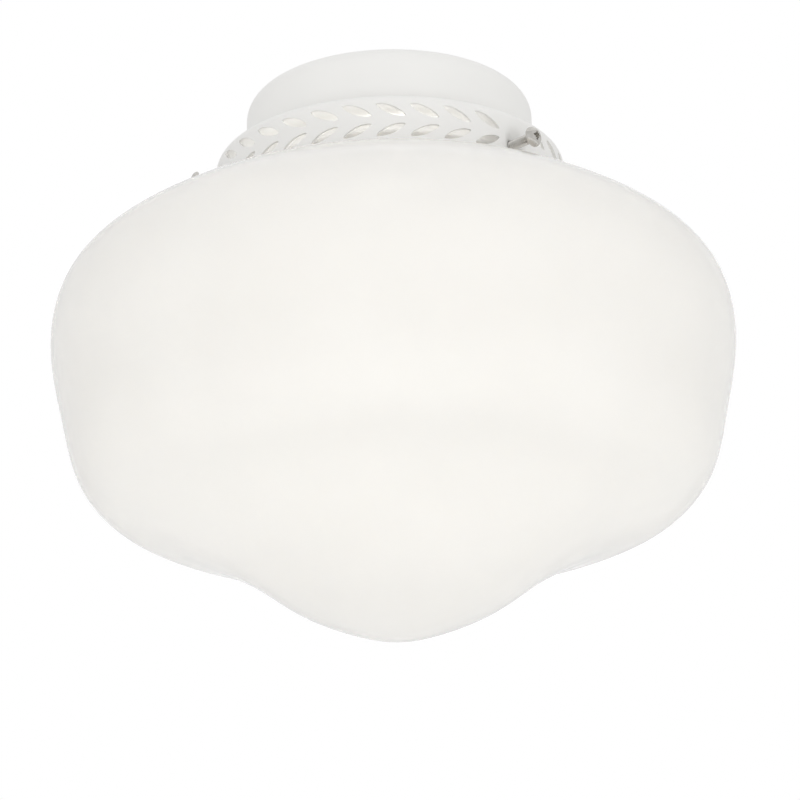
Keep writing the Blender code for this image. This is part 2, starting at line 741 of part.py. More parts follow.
def make_clamping_hardware():
    washer_top = FAN_PLATE_THICKNESS + WASHER_THICKNESS
    make_washer("fan_lock_washer", washer_top)
    make_nut("fan_hex_nut", washer_top + SEAT_GAP + NUT_HEIGHT)
    washer_top = CROSSBAR_TOP - CROSSBAR_THICKNESS - SEAT_GAP
    make_washer("pan_lock_washer", washer_top)
    make_nut("pan_hex_nut", washer_top - WASHER_THICKNESS - SEAT_GAP)


def crossbar_outline():
    """The strap's side view, from the left foot over the top to the right foot."""
    foot = CROSSBAR_FOOT_BOTTOM
    thick = CROSSBAR_THICKNESS
    leg = CROSSBAR_LEG_REACH
    tip = CROSSBAR_FOOT_REACH
    bend = CROSSBAR_BEND_RADIUS
    upper_bend = (leg - bend, CROSSBAR_TOP - bend)
    lower_bend = (leg - thick + bend, foot + bend)
    right = arc(upper_bend, bend, 90, 0, 2)
    right += arc(lower_bend, bend - thick, 180, 270, 2)
    right += [(tip, foot + thick), (tip, foot)]
    right += arc(lower_bend, bend, 270, 180, 2)
    right += arc(upper_bend, bend - thick, 0, 90, 2)
    left = [(-x, z) for x, z in reversed(right)]
    return right + left


def make_crossbar():
    mesh = flat_mesh("crossbar", [crossbar_outline()], CROSSBAR_WIDTH)
    mesh.transform(Matrix.Rotation(math.pi / 2, 4, 'X'))
    crossbar = add_part("crossbar", mesh, ZINC)
    low = CROSSBAR_FOOT_BOTTOM - CUT_OVERRUN
    high = CROSSBAR_TOP + CUT_OVERRUN
    drill_holes(crossbar, "crossbar_stem_hole", STEM_RADIUS + BORE_CLEARANCE, [(0.0, 0.0)],
                low, high, STEM_SEGMENTS)
    drill_holes(crossbar, "crossbar_bolt_holes", FITTER_BOLT_RADIUS + BORE_CLEARANCE,
                both_sides(FITTER_BOLT_REACH), low, high, SMALL_SEGMENTS)


# Wire bushing and lampholder

def make_bushing():
    flange_bottom = PLATE_TOP + SEAT_GAP
    flange_top = flange_bottom + BUSHING_FLANGE_THICKNESS
    sleeve = WIRE_HOLE_RADIUS - BORE_CLEARANCE
    outline = [(BUSHING_BORE_RADIUS, flange_top), (BUSHING_FLANGE_RADIUS, flange_top),
               (BUSHING_FLANGE_RADIUS, flange_bottom), (sleeve, flange_bottom),
               (sleeve, PLATE_BOTTOM), (BUSHING_BORE_RADIUS, PLATE_BOTTOM)]
    turned_part("wire_bushing", outline, True, STEM_SEGMENTS, GREY_PLASTIC)


def make_lampholder():
    top = HOLDER_TOP
    rim = HOLDER_TOP - HOLDER_HEIGHT
    edge = HOLDER_EDGE_RADIUS
    outline = [(0.0, WELL_FLOOR), (HOLDER_WELL_RADIUS, WELL_FLOOR), (HOLDER_WELL_RADIUS, top)]
    outline += arc((HOLDER_TOP_RADIUS - edge, top - edge), edge, 90, 0, 2)
    outline += [(HOLDER_TOP_RADIUS, top - HOLDER_TOP_BAND),
                (HOLDER_WAIST_RADIUS, top - HOLDER_TOP_BAND - edge),
                (HOLDER_WAIST_RADIUS, rim + HOLDER_RIM_BAND + edge),
                (HOLDER_RIM_RADIUS, rim + HOLDER_RIM_BAND)]
    outline += arc((HOLDER_RIM_RADIUS - edge, rim + edge), edge, 0, -90, 2)
    outline += [(HOLDER_BORE_RADIUS, rim), (HOLDER_BORE_RADIUS, BORE_FLOOR), (0.0, BORE_FLOOR)]
    holder = turned_part("lampholder_body", outline, False, HOLDER_SEGMENTS, PORCELAIN)

    drill_holes(holder, "bolt_holes", HOLDER_BOLT_RADIUS + BORE_CLEARANCE,
                both_sides(HOLDER_BOLT_REACH), PLATE_TOP - HOLDER_BOLT_LENGTH,
                top + CUT_OVERRUN, SMALL_SEGMENTS)
    drill_holes(holder, "rivet_holes", RIVET_RADIUS + BORE_CLEARANCE,
                [(0.0, 0.0), (0.0, NEUTRAL_RIVET_REACH)], BORE_FLOOR - CUT_OVERRUN,
                WELL_FLOOR + CUT_OVERRUN, SMALL_SEGMENTS)


def make_screw_shell():
    outer = HOLDER_BORE_RADIUS - BORE_CLEARANCE
    inner = outer - SHELL_WALL
    bottom = SHELL_TOP - SHELL_LENGTH
    outline = [(SHELL_EYE_RADIUS, SHELL_TOP), (outer, SHELL_TOP), (outer, bottom),
               (inner, bottom), (inner, SHELL_TOP - SHELL_WALL),
               (SHELL_EYE_RADIUS, SHELL_TOP - SHELL_WALL)]
    shell = turned_part("screw_shell", outline, True, HOLDER_SEGMENTS, BRASS)
    drill_holes(shell, "shell_rivet_hole", RIVET_RADIUS + BORE_CLEARANCE,
                [(0.0, NEUTRAL_RIVET_REACH)], SHELL_TOP - SHELL_WALL - CUT_OVERRUN,
                SHELL_TOP + CUT_OVERRUN, SMALL_SEGMENTS)


def make_centre_contact():
    """A strip folded back under itself, whose free end presses on the lamp."""
    top = CONTACT_TOP
    thick = CONTACT_THICKNESS
    half = CONTACT_HALF_LENGTH
    end = top - CONTACT_TONGUE_DROP
    outline = [(-half, top), (half, top), (half + thick, top - thick),
               (half + thick, top - 2 * thick), (half, top - 3 * thick),
               (-CONTACT_TONGUE_REACH, end - thick), (-CONTACT_TONGUE_REACH, end),
               (half - thick / 2, top - 2 * thick), (half - thick / 2, top - thick),
               (-half, top - thick)]
    mesh = flat_mesh("centre_contact", [outline], CONTACT_WIDTH)
    mesh.transform(Matrix.Rotation(math.pi / 2, 4, 'X'))
    add_part("centre_contact", mesh, BRASS)


def make_rivets():
    head_bottom = WELL_FLOOR + SEAT_GAP
    head_top = head_bottom + RIVET_HEAD_HEIGHT
    outline = [(0.0, head_top), (RIVET_HEAD_RADIUS, head_top), (RIVET_HEAD_RADIUS, head_bottom),
               (RIVET_RADIUS, head_bottom), (RIVET_RADIUS, CONTACT_TOP + SEAT_GAP),
               (0.0, CONTACT_TOP + SEAT_GAP)]
    turned_part("line_rivet", outline, False, SMALL_SEGMENTS, BRASS)
    foot = SHELL_TOP - SHELL_WALL - SEAT_GAP
    outline = outline[:4]
    outline += [(RIVET_RADIUS, foot), (RIVET_HEAD_RADIUS, foot),
                (RIVET_HEAD_RADIUS, foot - RIVET_HEAD_HEIGHT), (0.0, foot - RIVET_HEAD_HEIGHT)]
    place = Matrix.Translation((0.0, NEUTRAL_RIVET_REACH, 0.0))
    turned_part("neutral_rivet", outline, False, SMALL_SEGMENTS, BRASS, place)


# Leads and connectors

def make_lead(name, route, material):
    points = [Vector(point) for point in route]
    points = [2 * points[0] - points[1]] + points + [2 * points[-1] - points[-2]]
    path = smooth_path(points, ROUTE_STEPS)
    curve = bpy.data.curves.new(name, 'CURVE')
    curve.dimensions = '3D'
    curve.bevel_depth = LEAD_RADIUS
    curve.bevel_resolution = 2
    curve.use_fill_caps = True
    spline = curve.splines.new('POLY')
    spline.points.add(len(path) - 1)
    for point, place in zip(spline.points, path):
        point.co = (*place, 1.0)
    add_part(name, curve, material)


def connector_mesh():
    """A twist-on connector along Z: its mouth is at the origin, and its bore grips the lead's end."""
    tip = CONNECTOR_TIP_EDGE
    grip = LEAD_RADIUS + BORE_CLEARANCE
    outline = [(0.0, CONNECTOR_LENGTH), (CONNECTOR_TIP_RADIUS - tip, CONNECTOR_LENGTH),
               (CONNECTOR_TIP_RADIUS, CONNECTOR_LENGTH - tip), (CONNECTOR_MOUTH_RADIUS, 0.0),
               (CONNECTOR_BORE_RADIUS, 0.0), (grip, CONNECTOR_GRIP_DEPTH),
               (grip, CONNECTOR_BORE_DEPTH), (0.0, CONNECTOR_BORE_DEPTH)]
    return turned_mesh("connector", outline, False, SMALL_SEGMENTS)


def make_connectors():
    for name, sign, material in (("white_connector", -1, WHITE_PLASTIC),
                                 ("black_connector", 1, BLACK_PLASTIC)):
        mesh = connector_mesh()
        mouth = (sign * CONNECTOR_MOUTH_OFFSET_X, -sign * CONNECTOR_OFFSET_Y, -CONNECTOR_DEPTH)
        lie_down = Matrix.Rotation(-sign * math.pi / 2, 4, 'Y')
        add_part(name, mesh, material, Matrix.Translation(mouth) @ lie_down)


# Lamp

def make_lamp():
    contact_bottom = LAMP_TOP - LAMP_CONTACT_HEIGHT
    insulator_top = contact_bottom - SEAT_GAP
    insulator_bottom = insulator_top - LAMP_INSULATOR_HEIGHT
    cap_top = insulator_bottom - SEAT_GAP
    cap_bottom = cap_top - LAMP_CAP_LENGTH
    make_lamp_contact(contact_bottom)
    make_lamp_insulator(insulator_top, insulator_bottom)
    make_lamp_cap(cap_top, cap_bottom)
    make_lamp_envelope(cap_bottom)


def make_lamp_contact(bottom):
    pin = LAMP_CONTACT_PIN_RADIUS
    outline = [(0.0, LAMP_TOP), (LAMP_CONTACT_RADIUS / 2, LAMP_TOP),
               (LAMP_CONTACT_RADIUS, bottom + LAMP_CONTACT_HEIGHT / 2),
               (LAMP_CONTACT_RADIUS, bottom), (pin, bottom),
               (pin, bottom - LAMP_CONTACT_PIN_LENGTH), (0.0, bottom - LAMP_CONTACT_PIN_LENGTH)]
    turned_part("lamp_contact", outline, False, SMALL_SEGMENTS, ZINC)


def make_lamp_insulator(top, bottom):
    eye = LAMP_CONTACT_PIN_RADIUS + BORE_CLEARANCE
    outline = [(eye, top), (LAMP_INSULATOR_TOP_RADIUS, top),
               (LAMP_INSULATOR_RADIUS, bottom + (top - bottom) / 4),
               (LAMP_INSULATOR_RADIUS, bottom), (eye, bottom)]
    turned_part("lamp_insulator", outline, True, LAMP_SEGMENTS, BLACK_GLASS)


def make_lamp_cap(top, bottom):
    wall = LAMP_CAP_WALL
    shoulder = top - LAMP_CAP_SHOULDER
    bevel = LAMP_CAP_SHOULDER / 2
    flare = LAMP_CAP_FLARE
    outline = [(LAMP_CAP_EYE_RADIUS, top), (LAMP_CAP_RADIUS - bevel, top),
               (LAMP_CAP_RADIUS, shoulder), (LAMP_CAP_RADIUS, bottom + 2 * wall),
               (LAMP_CAP_RADIUS + flare, bottom), (LAMP_CAP_RADIUS + flare - wall, bottom),
               (LAMP_CAP_RADIUS - wall, bottom + 2 * wall), (LAMP_CAP_RADIUS - wall, shoulder),
               (LAMP_CAP_RADIUS - bevel - wall / 2, top - wall), (LAMP_CAP_EYE_RADIUS, top - wall)]
    turned_part("lamp_cap", outline, True, LAMP_SEGMENTS, ALUMINIUM)


def make_lamp_envelope(cap_bottom):
    tip = LAMP_TOP - LAMP_LENGTH
    neck_top = cap_bottom + LAMP_NECK_IN_CAP
    length = cap_bottom - tip
    points = [Vector((LAMP_NECK_RADIUS, neck_top)), Vector((LAMP_NECK_RADIUS, cap_bottom))]
    for radius_share, height_share in LAMP_OUTLINE_SHARES:
        points.append(Vector((LAMP_RADIUS * radius_share, cap_bottom - length * height_share)))
    points.append(Vector((0.0, tip)))
    points.append(Vector((-points[-2].x, points[-2].y)))
    body = [tuple(point) for point in smooth_path(points, OUTLINE_STEPS)]
    outer = [(LAMP_NECK_RADIUS, neck_top)] + body
    inner = [(LAMP_NECK_RADIUS - LAMP_GLASS_WALL, neck_top)]
    inner += offset_outline(outer, LAMP_GLASS_WALL)[1:-1:OUTLINE_STEPS]
    inner += [(0.0, tip + LAMP_GLASS_WALL)]
    outline = list(reversed(inner)) + outer
    turned_part("lamp_envelope", outline, False, LAMP_SEGMENTS, FROSTED_GLASS)


make_pan()
make_skirt()
make_globe()
make_globe_screws()
make_fitter_bolts()
make_lampholder_bolts()
make_stem()
make_clamping_hardware()
make_crossbar()
make_bushing()
make_lampholder()
make_screw_shell()
make_centre_contact()
make_rivets()
make_lead("white_lead", WHITE_LEAD_ROUTE, WHITE_PLASTIC)
make_lead("black_lead", BLACK_LEAD_ROUTE, BLACK_PLASTIC)
make_connectors()
make_lamp()
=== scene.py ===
import math
import bpy
from mathutils import Matrix, Vector


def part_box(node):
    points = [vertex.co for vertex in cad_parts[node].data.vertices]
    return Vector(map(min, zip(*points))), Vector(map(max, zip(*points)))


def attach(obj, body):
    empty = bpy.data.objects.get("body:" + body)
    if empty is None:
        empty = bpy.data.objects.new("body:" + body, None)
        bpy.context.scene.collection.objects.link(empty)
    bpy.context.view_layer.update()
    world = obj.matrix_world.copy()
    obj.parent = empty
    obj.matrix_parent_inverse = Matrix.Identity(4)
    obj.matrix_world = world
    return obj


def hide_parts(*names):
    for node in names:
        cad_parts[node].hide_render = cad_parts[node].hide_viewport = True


# Looks of a light kit for a ceiling fan, with an opal schoolhouse globe.
# Lengths are in metres, +Z is up, and the view from the front looks along +Y.

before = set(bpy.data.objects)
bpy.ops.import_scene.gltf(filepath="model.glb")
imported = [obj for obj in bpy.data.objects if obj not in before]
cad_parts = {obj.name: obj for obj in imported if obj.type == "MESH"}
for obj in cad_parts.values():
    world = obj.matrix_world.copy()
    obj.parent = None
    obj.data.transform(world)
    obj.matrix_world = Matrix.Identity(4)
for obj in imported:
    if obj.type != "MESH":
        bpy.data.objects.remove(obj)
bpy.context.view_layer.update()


def span(node):
    """The lowest and the highest place of a CAD node, and how far it reaches along X."""
    low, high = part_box(node)
    return low.z, high.z, high.x


# Modelling
MERGE_DISTANCE = 0.000004
LINE_START_SIZE = 0.001
OVERRUN = 0.002
SEAT_GAP = 0.0003
FAIRING_ROUNDS = 40

# Segments round turned pieces, by size
SMALL_SEGMENTS = 32
SCREW_SEGMENTS = 40
HARDWARE_SEGMENTS = 48
SLEEVE_SEGMENTS = 64
SHELL_SEGMENTS = 80
HOLDER_SEGMENTS = 96

# Angles in degrees, up to which faces are shaded as one
PLAIN_SHADING = 38.0
EDGED_SHADING = 32.0
FACETED_SHADING = 25.0
THREAD_SHADING = 50.0
BLOWN_SHADING = 60.0

# Angles in degrees, past which an edge is rounded
SOFTENED_ANGLE = 40.0
STRIP_SOFTENED_ANGLE = 60.0

# Extra rings of wide flat plates, as shares of their radius
OUTER_RING = 0.6
INNER_RING = 0.3

# Fitter pan
PAN_CORNER_RADIUS = 0.0072
PAN_WALL = 0.0008
PAN_RIM_RADIUS = 0.0020
PAN_COINED_RADIUS = 0.0100
PAN_COINED_DEPTH = 0.0002
PAN_SEGMENTS = 192
STEM_HOLE_RADIUS = 0.00545

# Fitter skirt
SKIRT_BOTTOM, SKIRT_TOP, SKIRT_RADIUS = span("fitter_skirt")
SKIRT_CORNER_RADIUS = 0.0032
SKIRT_WALL = 0.0009
SKIRT_HEM_HEIGHT = 0.0016
SKIRT_HEM_WIDTH = 0.0018
SKIRT_EDGE_RADIUS = 0.0002
WIRE_HOLE_RADIUS = 0.0065
WALL_TOP = SKIRT_TOP - SKIRT_CORNER_RADIUS
WALL_BOTTOM = SKIRT_BOTTOM + SKIRT_HEM_HEIGHT

# Leaf vents: each blank of the wall carries a pair, and a wider one in each sector takes a screw
SCREW_COUNT = 3
LEAVES_PER_SECTOR = 10
LEAF_BLANK_COLUMNS = 16
SCREW_BLANK_COLUMNS = 18
BLANK_ROWS = 20
SECTOR_COLUMNS = LEAVES_PER_SECTOR * LEAF_BLANK_COLUMNS + SCREW_BLANK_COLUMNS
COLUMN_ANGLE = math.tau / SCREW_COUNT / SECTOR_COLUMNS
LEAF_LENGTH = 0.0104
LEAF_HALF_WIDTH = 0.00145
LEAF_POINTEDNESS = 0.65
LEAF_TIP_DROP = 0.0041
LEAF_BAND_GAP = 0.0030
LEAF_TOP_DEPTH = 0.0039
LEAF_EDGE_SPANS = 16
LEAF_EDGE_BEVEL = 0.00018

# A face whose normal has less than this along Y was made by a cut through the flat blank
CUT_FACE_LIMIT = 0.5

# Dimples and collars
SCREW_FIRST_AZIMUTH = math.radians(44.4)
SCREW_Z = SKIRT_TOP - 0.0117
DIMPLE_DEPTH = 0.0027
DIMPLE_HALF_WIDTH = 0.0052
DIMPLE_HALF_HEIGHT = 0.0074
COLLAR_RADIUS = 0.0033
COLLAR_LENGTH = 0.0026

# Globe
LIP_HEIGHT = 0.0050
LIP_EDGE_RADIUS = 0.0012
LIP_RADIUS = SKIRT_RADIUS - 0.0084
NECK_RADIUS = LIP_RADIUS - 0.0045
NECK_FILLET = 0.0050
GLASS_WALL = 0.0030
SHOULDER_Z = SKIRT_BOTTOM - 0.0008
GLOBE_SEGMENTS = 192
GLOBE_STEPS = 7

# Outer outline of the globe's body, as shares of its radius and of its height
GLOBE_OUTLINE_SHARES = (
    (0.655, 0.018), (0.810, 0.0748), (0.951, 0.167), (1.000, 0.313), (0.969, 0.470),
    (0.929, 0.597), (0.869, 0.668), (0.795, 0.705), (0.660, 0.745), (0.500, 0.810),
    (0.400, 0.863), (0.300, 0.918), (0.160, 0.970),
)

# Screws and bolts: thread radius, length, head radius and head height
GLOBE_SCREW = (0.00175, 0.01905, 0.00345, 0.0023)
FITTER_BOLT = (0.00208, 0.0095, 0.0040, 0.0025)
HOLDER_BOLT = (0.00175, 0.0111, 0.0034, 0.0021)
SCREW_NECK_GAP = 0.0015
FITTER_BOLT_REACH = 0.0300
HOLDER_BOLT_REACH = 0.0122

# Threads, whose chamfers and depths are shares of the pitch
SCREW_PITCH = 0.000794
STEM_PITCH = 0.00094
SCREW_PLAIN_END = 0.0006
THREAD_CHAMFER = 0.6
THREAD_FLAT = 0.14
THREAD_DEPTH_SHARE = 0.54
THREAD_ROWS = 10

# Pan heads, as shares of the head's radius or height
HEAD_STEPS = 14
HEAD_EDGE = 0.08
HEAD_FOOT = 0.95
HEAD_FULLNESS = 0.88
RECESS_DEPTH = 0.55
RECESS_BLADE = (1.36, 0.30)
RECESS_TAPER = (0.40, 0.45)
RECESS_CORE_RADIUS = 0.34
RECESS_CORE_DEPTH = 0.8

# Stem, nuts, washers and crossbar
STEM_BORE_RADIUS = 0.0035
NUT_RISE = 0.12
NUT_WIDE = 1.02
NUT_FLAT = 0.84
NUT_DOME_RISES = 1.3
NUT_SINK_PITCHES = 0.5
WASHER_RING_WIDTH = 0.0013
WASHER_METAL = 0.00062
TOOTH_COUNT = 10
TOOTH_TWIST = math.radians(13.0)
TOOTH_WIDTH = 0.58
TOOTH_METAL = 0.8
TOOTH_EDGE = 0.15
CROSSBAR_THICKNESS = 0.0015
CROSSBAR_LEG_REACH = 0.0220
CROSSBAR_BEND_RADIUS = 0.0026
CROSSBAR_EDGE = 0.16

# Wire bushing and lampholder
BUSHING_BORE_RADIUS = 0.0048
HOLDER_TOP_RADIUS = 0.0190
HOLDER_WAIST_RADIUS = 0.0176
HOLDER_TOP_BAND = 0.0120
HOLDER_RIM_BAND = 0.0090
HOLDER_EDGE_RADIUS = 0.0010
HOLDER_BORE_RADIUS = 0.0144
HOLDER_WELL_RADIUS = 0.0085
HOLDER_WELL_DEPTH = 0.0086
HOLDER_FLOOR_THICKNESS = 0.0055
SHELL_METAL = 0.0004
SHELL_EYE_RADIUS = 0.0040
SHELL_THREAD_DEPTH = 0.00032
SHELL_ROWS = 60
LAMP_THREAD_PITCH = 0.00363
CONTACT_METAL = 0.0005
CONTACT_HALF_LENGTH = 0.0024
CONTACT_EDGE = 0.12
CONTACT_FOLD_OUTSIDE = 1.5
CONTACT_FOLD_INSIDE = 0.5
CONTACT_FOLD_END = -75
RIVET_RADIUS = 0.0011
RIVET_HEAD_HEIGHT = 0.0009
NEUTRAL_RIVET_REACH = 0.0062

# Dome of a rivet's head, as shares of the head's radius and height
RIVET_DOME_SHARES = ((0.0, 0.0), (0.55, 0.10), (0.86, 0.38), (1.0, 0.78), (0.97, 1.0))

# Lamp
CAP_RADIUS = 0.01305
CAP_METAL = 0.0003
CAP_THREAD_DEPTH = 0.00044
CAP_SHOULDER = 0.0026
CAP_PLAIN_END = 0.0042
CAP_EYE_RADIUS = 0.0052
CAP_ROWS = 56
INSULATOR_EYE_RADIUS = 0.0012
INSULATOR_SHARES = ((0.44, 0.0), (0.62, 0.16), (0.82, 0.42), (0.96, 0.70))
INSULATOR_FOOT_SHARES = (0.98, 0.12)
SOLDER_STEM_RADIUS = 0.0009
LAMP_RADIUS = 0.0300
LAMP_NECK_RADIUS = 0.01215
LAMP_GLASS_WALL = 0.0009
LAMP_STEPS = 5

# Solder dome of the lamp's contact: share of its radius, and depth below its top
SOLDER_DOME = ((0.0, 0.0), (0.35, 0.00004), (0.65, 0.00018), (0.88, 0.00042), (1.0, 0.00074),
               (0.97, 0.0010))

# Outline of the lamp's glass below its cap, as shares of its radius and of its visible length
LAMP_OUTLINE_SHARES = (
    (0.447, 0.050), (0.560, 0.170), (0.740, 0.315), (0.900, 0.450), (0.985, 0.580),
    (0.995, 0.680), (0.930, 0.790), (0.760, 0.890), (0.440, 0.970),
)

# Leads and connectors
LEAD_RADIUS = 0.0010
LEAD_STEPS = 6
LEAD_ROUNDNESS = 3
CONNECTOR_LENGTH = 0.0160
CONNECTOR_MOUTH_RADIUS = 0.00475
CONNECTOR_WALL = 0.0024
CONNECTOR_FUNNEL_DEPTH = 0.0040
CONNECTOR_BORE_DEPTH = 0.0090
CONNECTOR_TIP_RADIUS = 0.0031
CONNECTOR_RIM = 0.0012
CONNECTOR_SEGMENTS = 72
CONNECTOR_FLUTE_RADIUS = 0.0006
CONNECTOR_FLUTES = 12
FLUTE_SEGMENTS = 12

# Rounding of the connector's end as a share of its radius; the foot of its cone and the start
# of its flutes as shares of its rim
CONNECTOR_END_SHARE = 0.35
CONE_FOOT_SHARES = (0.35, 1.4)
FLUTE_START_SHARE = 2.4

# Each lead's side, and its places along Y at the first heights of its route, from its rivet up
# through the bushing; the rest, into its connector, is turned half round Z for the black lead
LEADS = {
    "white": (1, (0.0062, 0.0055, 0.0034, 0.0030)),
    "black": (-1, (0.0, -0.0012, -0.0028, -0.0030)),
}
ROUTE_HEIGHTS = (-0.0313, -0.0282, -0.0240, -0.0205)
ROUTE_REST = (
    (-0.0020, 0.0060, -0.0150), (-0.0085, 0.0115, -0.0126), (-0.0150, 0.0155, -0.0132),
    (-0.0186, 0.0200, -0.0140), (-0.0155, 0.0238, -0.0140), (-0.0100, 0.0240, -0.0140),
    (-0.0010, 0.0240, -0.0140),
)
CONNECTOR_PLACE = (-0.0090, 0.0240, -0.0140)


# Modelling by hand

def start_new():
    """Leaves edit mode and deselects all, so that what comes next is alone."""
    if bpy.context.object is not None and bpy.context.object.mode != 'OBJECT':
        bpy.ops.object.mode_set(mode='OBJECT')
    bpy.ops.object.select_all(action='DESELECT')


def pick(item):
    start_new()
    item.select_set(True)
    bpy.context.view_layer.objects.active = item
    return item


def edit(item, action='SELECT'):
    """Enters edit mode with all of an object selected, or none of it."""
    pick(item)
    bpy.ops.object.mode_set(mode='EDIT')
    bpy.ops.mesh.select_all(action=action)


def end_edit(item):
    bpy.ops.object.mode_set(mode='OBJECT')
    return item


def work_on(item, kind, parts, chosen, operator, **settings):
    """Runs an edit-mode operator on the faces or edges that a test chooses."""
    edit(item, 'DESELECT')
    bpy.ops.mesh.select_mode(type=kind)
    end_edit(item)
    for part in parts:
        part.select = chosen(part)
    bpy.ops.object.mode_set(mode='EDIT')
    operator(**settings)
    end_edit(item)


def drop(item):
    bpy.data.objects.remove(item, do_unlink=True)


def apply_modifiers(item):
    pick(item)
    for modifier in list(item.modifiers):
        bpy.ops.object.modifier_apply(modifier=modifier.name)
    return item


def settle(item):
    """Puts an object's place, turn and size into its mesh."""
    pick(item)
    bpy.ops.object.transform_apply(location=True, rotation=True, scale=True)
    return item


def clean(item):
    """Merges doubles and turns the faces of a closed shape outwards."""
    edit(item)
    bpy.ops.mesh.remove_doubles(threshold=MERGE_DISTANCE)
    bpy.ops.mesh.normals_make_consistent(inside=False)
    return end_edit(item)


def smooth(item, degrees=PLAIN_SHADING):
    pick(item)
    bpy.ops.object.shade_smooth_by_angle(angle=math.radians(degrees))
    return item


def join(items):
    start_new()
    for item in items:
        item.select_set(True)
    bpy.context.view_layer.objects.active = items[0]
    bpy.ops.object.join()
    return items[0]


def cut(item, cutter, operation='DIFFERENCE'):
    """A Boolean that is applied, after which its cutter goes."""
    change = item.modifiers.new(operation.lower(), 'BOOLEAN')
    change.operation = operation
    change.solver = 'EXACT'
    change.object = cutter
    apply_modifiers(item)
    drop(cutter)
    return item


def copy_of(item, place):
    """A copy with a mesh of its own, set at a place."""
    copy = bpy.data.objects.new(item.name, item.data.copy())
    bpy.context.scene.collection.objects.link(copy)
    copy.data.transform(place)
    return copy


def drawn_path(points):
    """A chain of edges: one vertex, extruded from point to point."""
    start_new()
    bpy.ops.mesh.primitive_plane_add(size=LINE_START_SIZE, location=points[0])
    line = bpy.context.object
    edit(line)
    bpy.ops.mesh.select_mode(type='VERT')
    bpy.ops.mesh.merge(type='CENTER')
    for before, after in zip(points, points[1:]):
        step = tuple(end - start for start, end in zip(before, after))
        bpy.ops.mesh.extrude_region_move(TRANSFORM_OT_translate={"value": step})
    return settle(end_edit(line))


def drawn_line(outline):
    """A chain of edges in the XZ plane, from (radius, height) points."""
    return drawn_path([(radius, 0.0, height) for radius, height in outline])


def turned(outline, segments, start=0.0):
    """A shape turned round Z from its outline, from a start angle."""
    item = drawn_line(outline)
    item.rotation_euler.z = start
    settle(item)
    screw = item.modifiers.new("turned", 'SCREW')
    screw.steps = segments
    screw.render_steps = segments
    screw.use_merge_vertices = True
    screw.merge_threshold = MERGE_DISTANCE
    apply_modifiers(item)
    return clean(item)


def soften(item, width, steps=2, degrees=SOFTENED_ANGLE):
    """Rounds the sharp edges of a shape."""
    bevel = item.modifiers.new("edges", 'BEVEL')
    bevel.width = width
    bevel.segments = steps
    bevel.limit_method = 'ANGLE'
    bevel.angle_limit = math.radians(degrees)
    bevel.use_clamp_overlap = True
    return apply_modifiers(item)


def rod(radius, low, high, segments, bevel=0.0):
    """A rod along Z between two heights, whose end edges are rounded when a bevel is given."""
    start_new()
    bpy.ops.mesh.primitive_cylinder_add(vertices=segments, radius=radius, depth=high - low,
                                        location=(0.0, 0.0, (low + high) / 2))
    item = settle(bpy.context.object)
    if bevel:
        soften(item, bevel)
    return item


def flat_shape(outline, thickness):
    """A closed outline in the XZ plane, filled and given a thickness along Y."""
    item = drawn_line(list(outline) + [outline[0]])
    edit(item)
    bpy.ops.mesh.remove_doubles(threshold=MERGE_DISTANCE)
    bpy.ops.mesh.select_all(action='SELECT')
    bpy.ops.mesh.edge_face_add()
    bpy.ops.transform.translate(value=(0.0, -thickness / 2, 0.0))
    bpy.ops.mesh.extrude_region_move(TRANSFORM_OT_translate={"value": (0.0, thickness, 0.0)})
    return clean(end_edit(item))


def both_sides(reach):
    return (-reach, 0.0), (reach, 0.0)


def drill(item, radius, places, low, high):
    """Cuts round holes along Z, at (x, y) places and between two heights."""
    model = rod(radius, low, high, SMALL_SEGMENTS)
    for x, y in places:
        cut(item, copy_of(model, Matrix.Translation((x, y, 0.0))))
    drop(model)
    return item


def wave_thread(item, low, high, pitch, depth, sharp=False):
    """Rolls a right-hand thread into a turned wall, between two heights, on all of its faces."""
    for vertex in item.data.vertices:
        place = vertex.co
        radius = math.hypot(place.x, place.y)
        end_distance = min(place.z - low, high - place.z)
        if end_distance <= 0.0 or radius == 0.0:
            continue
        fade = min(end_distance / pitch, 1.0)
        turn = (place.z / pitch - math.atan2(place.y, place.x) / math.tau) % 1.0
        if sharp:
            share = min(max((abs(2 * turn - 1) - THREAD_FLAT) / (1 - 2 * THREAD_FLAT), 0.0), 1.0)
        else:
            share = (1 - math.cos(math.tau * turn)) / 2
        sink = depth * fade * share
        place.x *= (radius - sink) / radius
        place.y *= (radius - sink) / radius
    return item


def arc(centre, radius, start, end, steps):
    """Points on an arc, in degrees from the first axis towards the second."""
    points = []
    for index in range(steps + 1):
        angle = math.radians(start + (end - start) * index / steps)
        points.append((centre[0] + radius * math.cos(angle),
                       centre[1] + radius * math.sin(angle)))
    return points


def wall_points(radius, start, end, count):
    """Evenly spaced points between two heights of a plain wall."""
    return [(radius, start + (end - start) * index / count) for index in range(1, count)]


def thread_rows(radius, low, high, pitch):
    """The points of a wall that is fine enough for a thread."""
    return wall_points(radius, low, high, math.ceil((high - low) / pitch * THREAD_ROWS))


def fair_curve(anchors, steps):
    """An even cubic B-spline through its anchors, from the second to the last but one."""
    anchors = [Vector(point) for point in anchors]
    guide = [point.copy() for point in anchors]
    for _ in range(FAIRING_ROUNDS):
        for index in range(1, len(guide) - 1):
            passes = (guide[index - 1] + 4 * guide[index] + guide[index + 1]) / 6
            guide[index] += anchors[index] - passes
    curve = []
    for a, b, c, d in zip(guide, guide[1:], guide[2:], guide[3:]):
        for index in range(steps):
            t = index / steps
            curve.append((a * (1 - t) ** 3 + b * (3 * t ** 3 - 6 * t ** 2 + 4)
                          + c * (-3 * t ** 3 + 3 * t ** 2 + 3 * t + 1) + d * t ** 3) / 6)
    curve.append((guide[-3] + 4 * guide[-2] + guide[-1]) / 6)
    return [tuple(point) for point in curve]


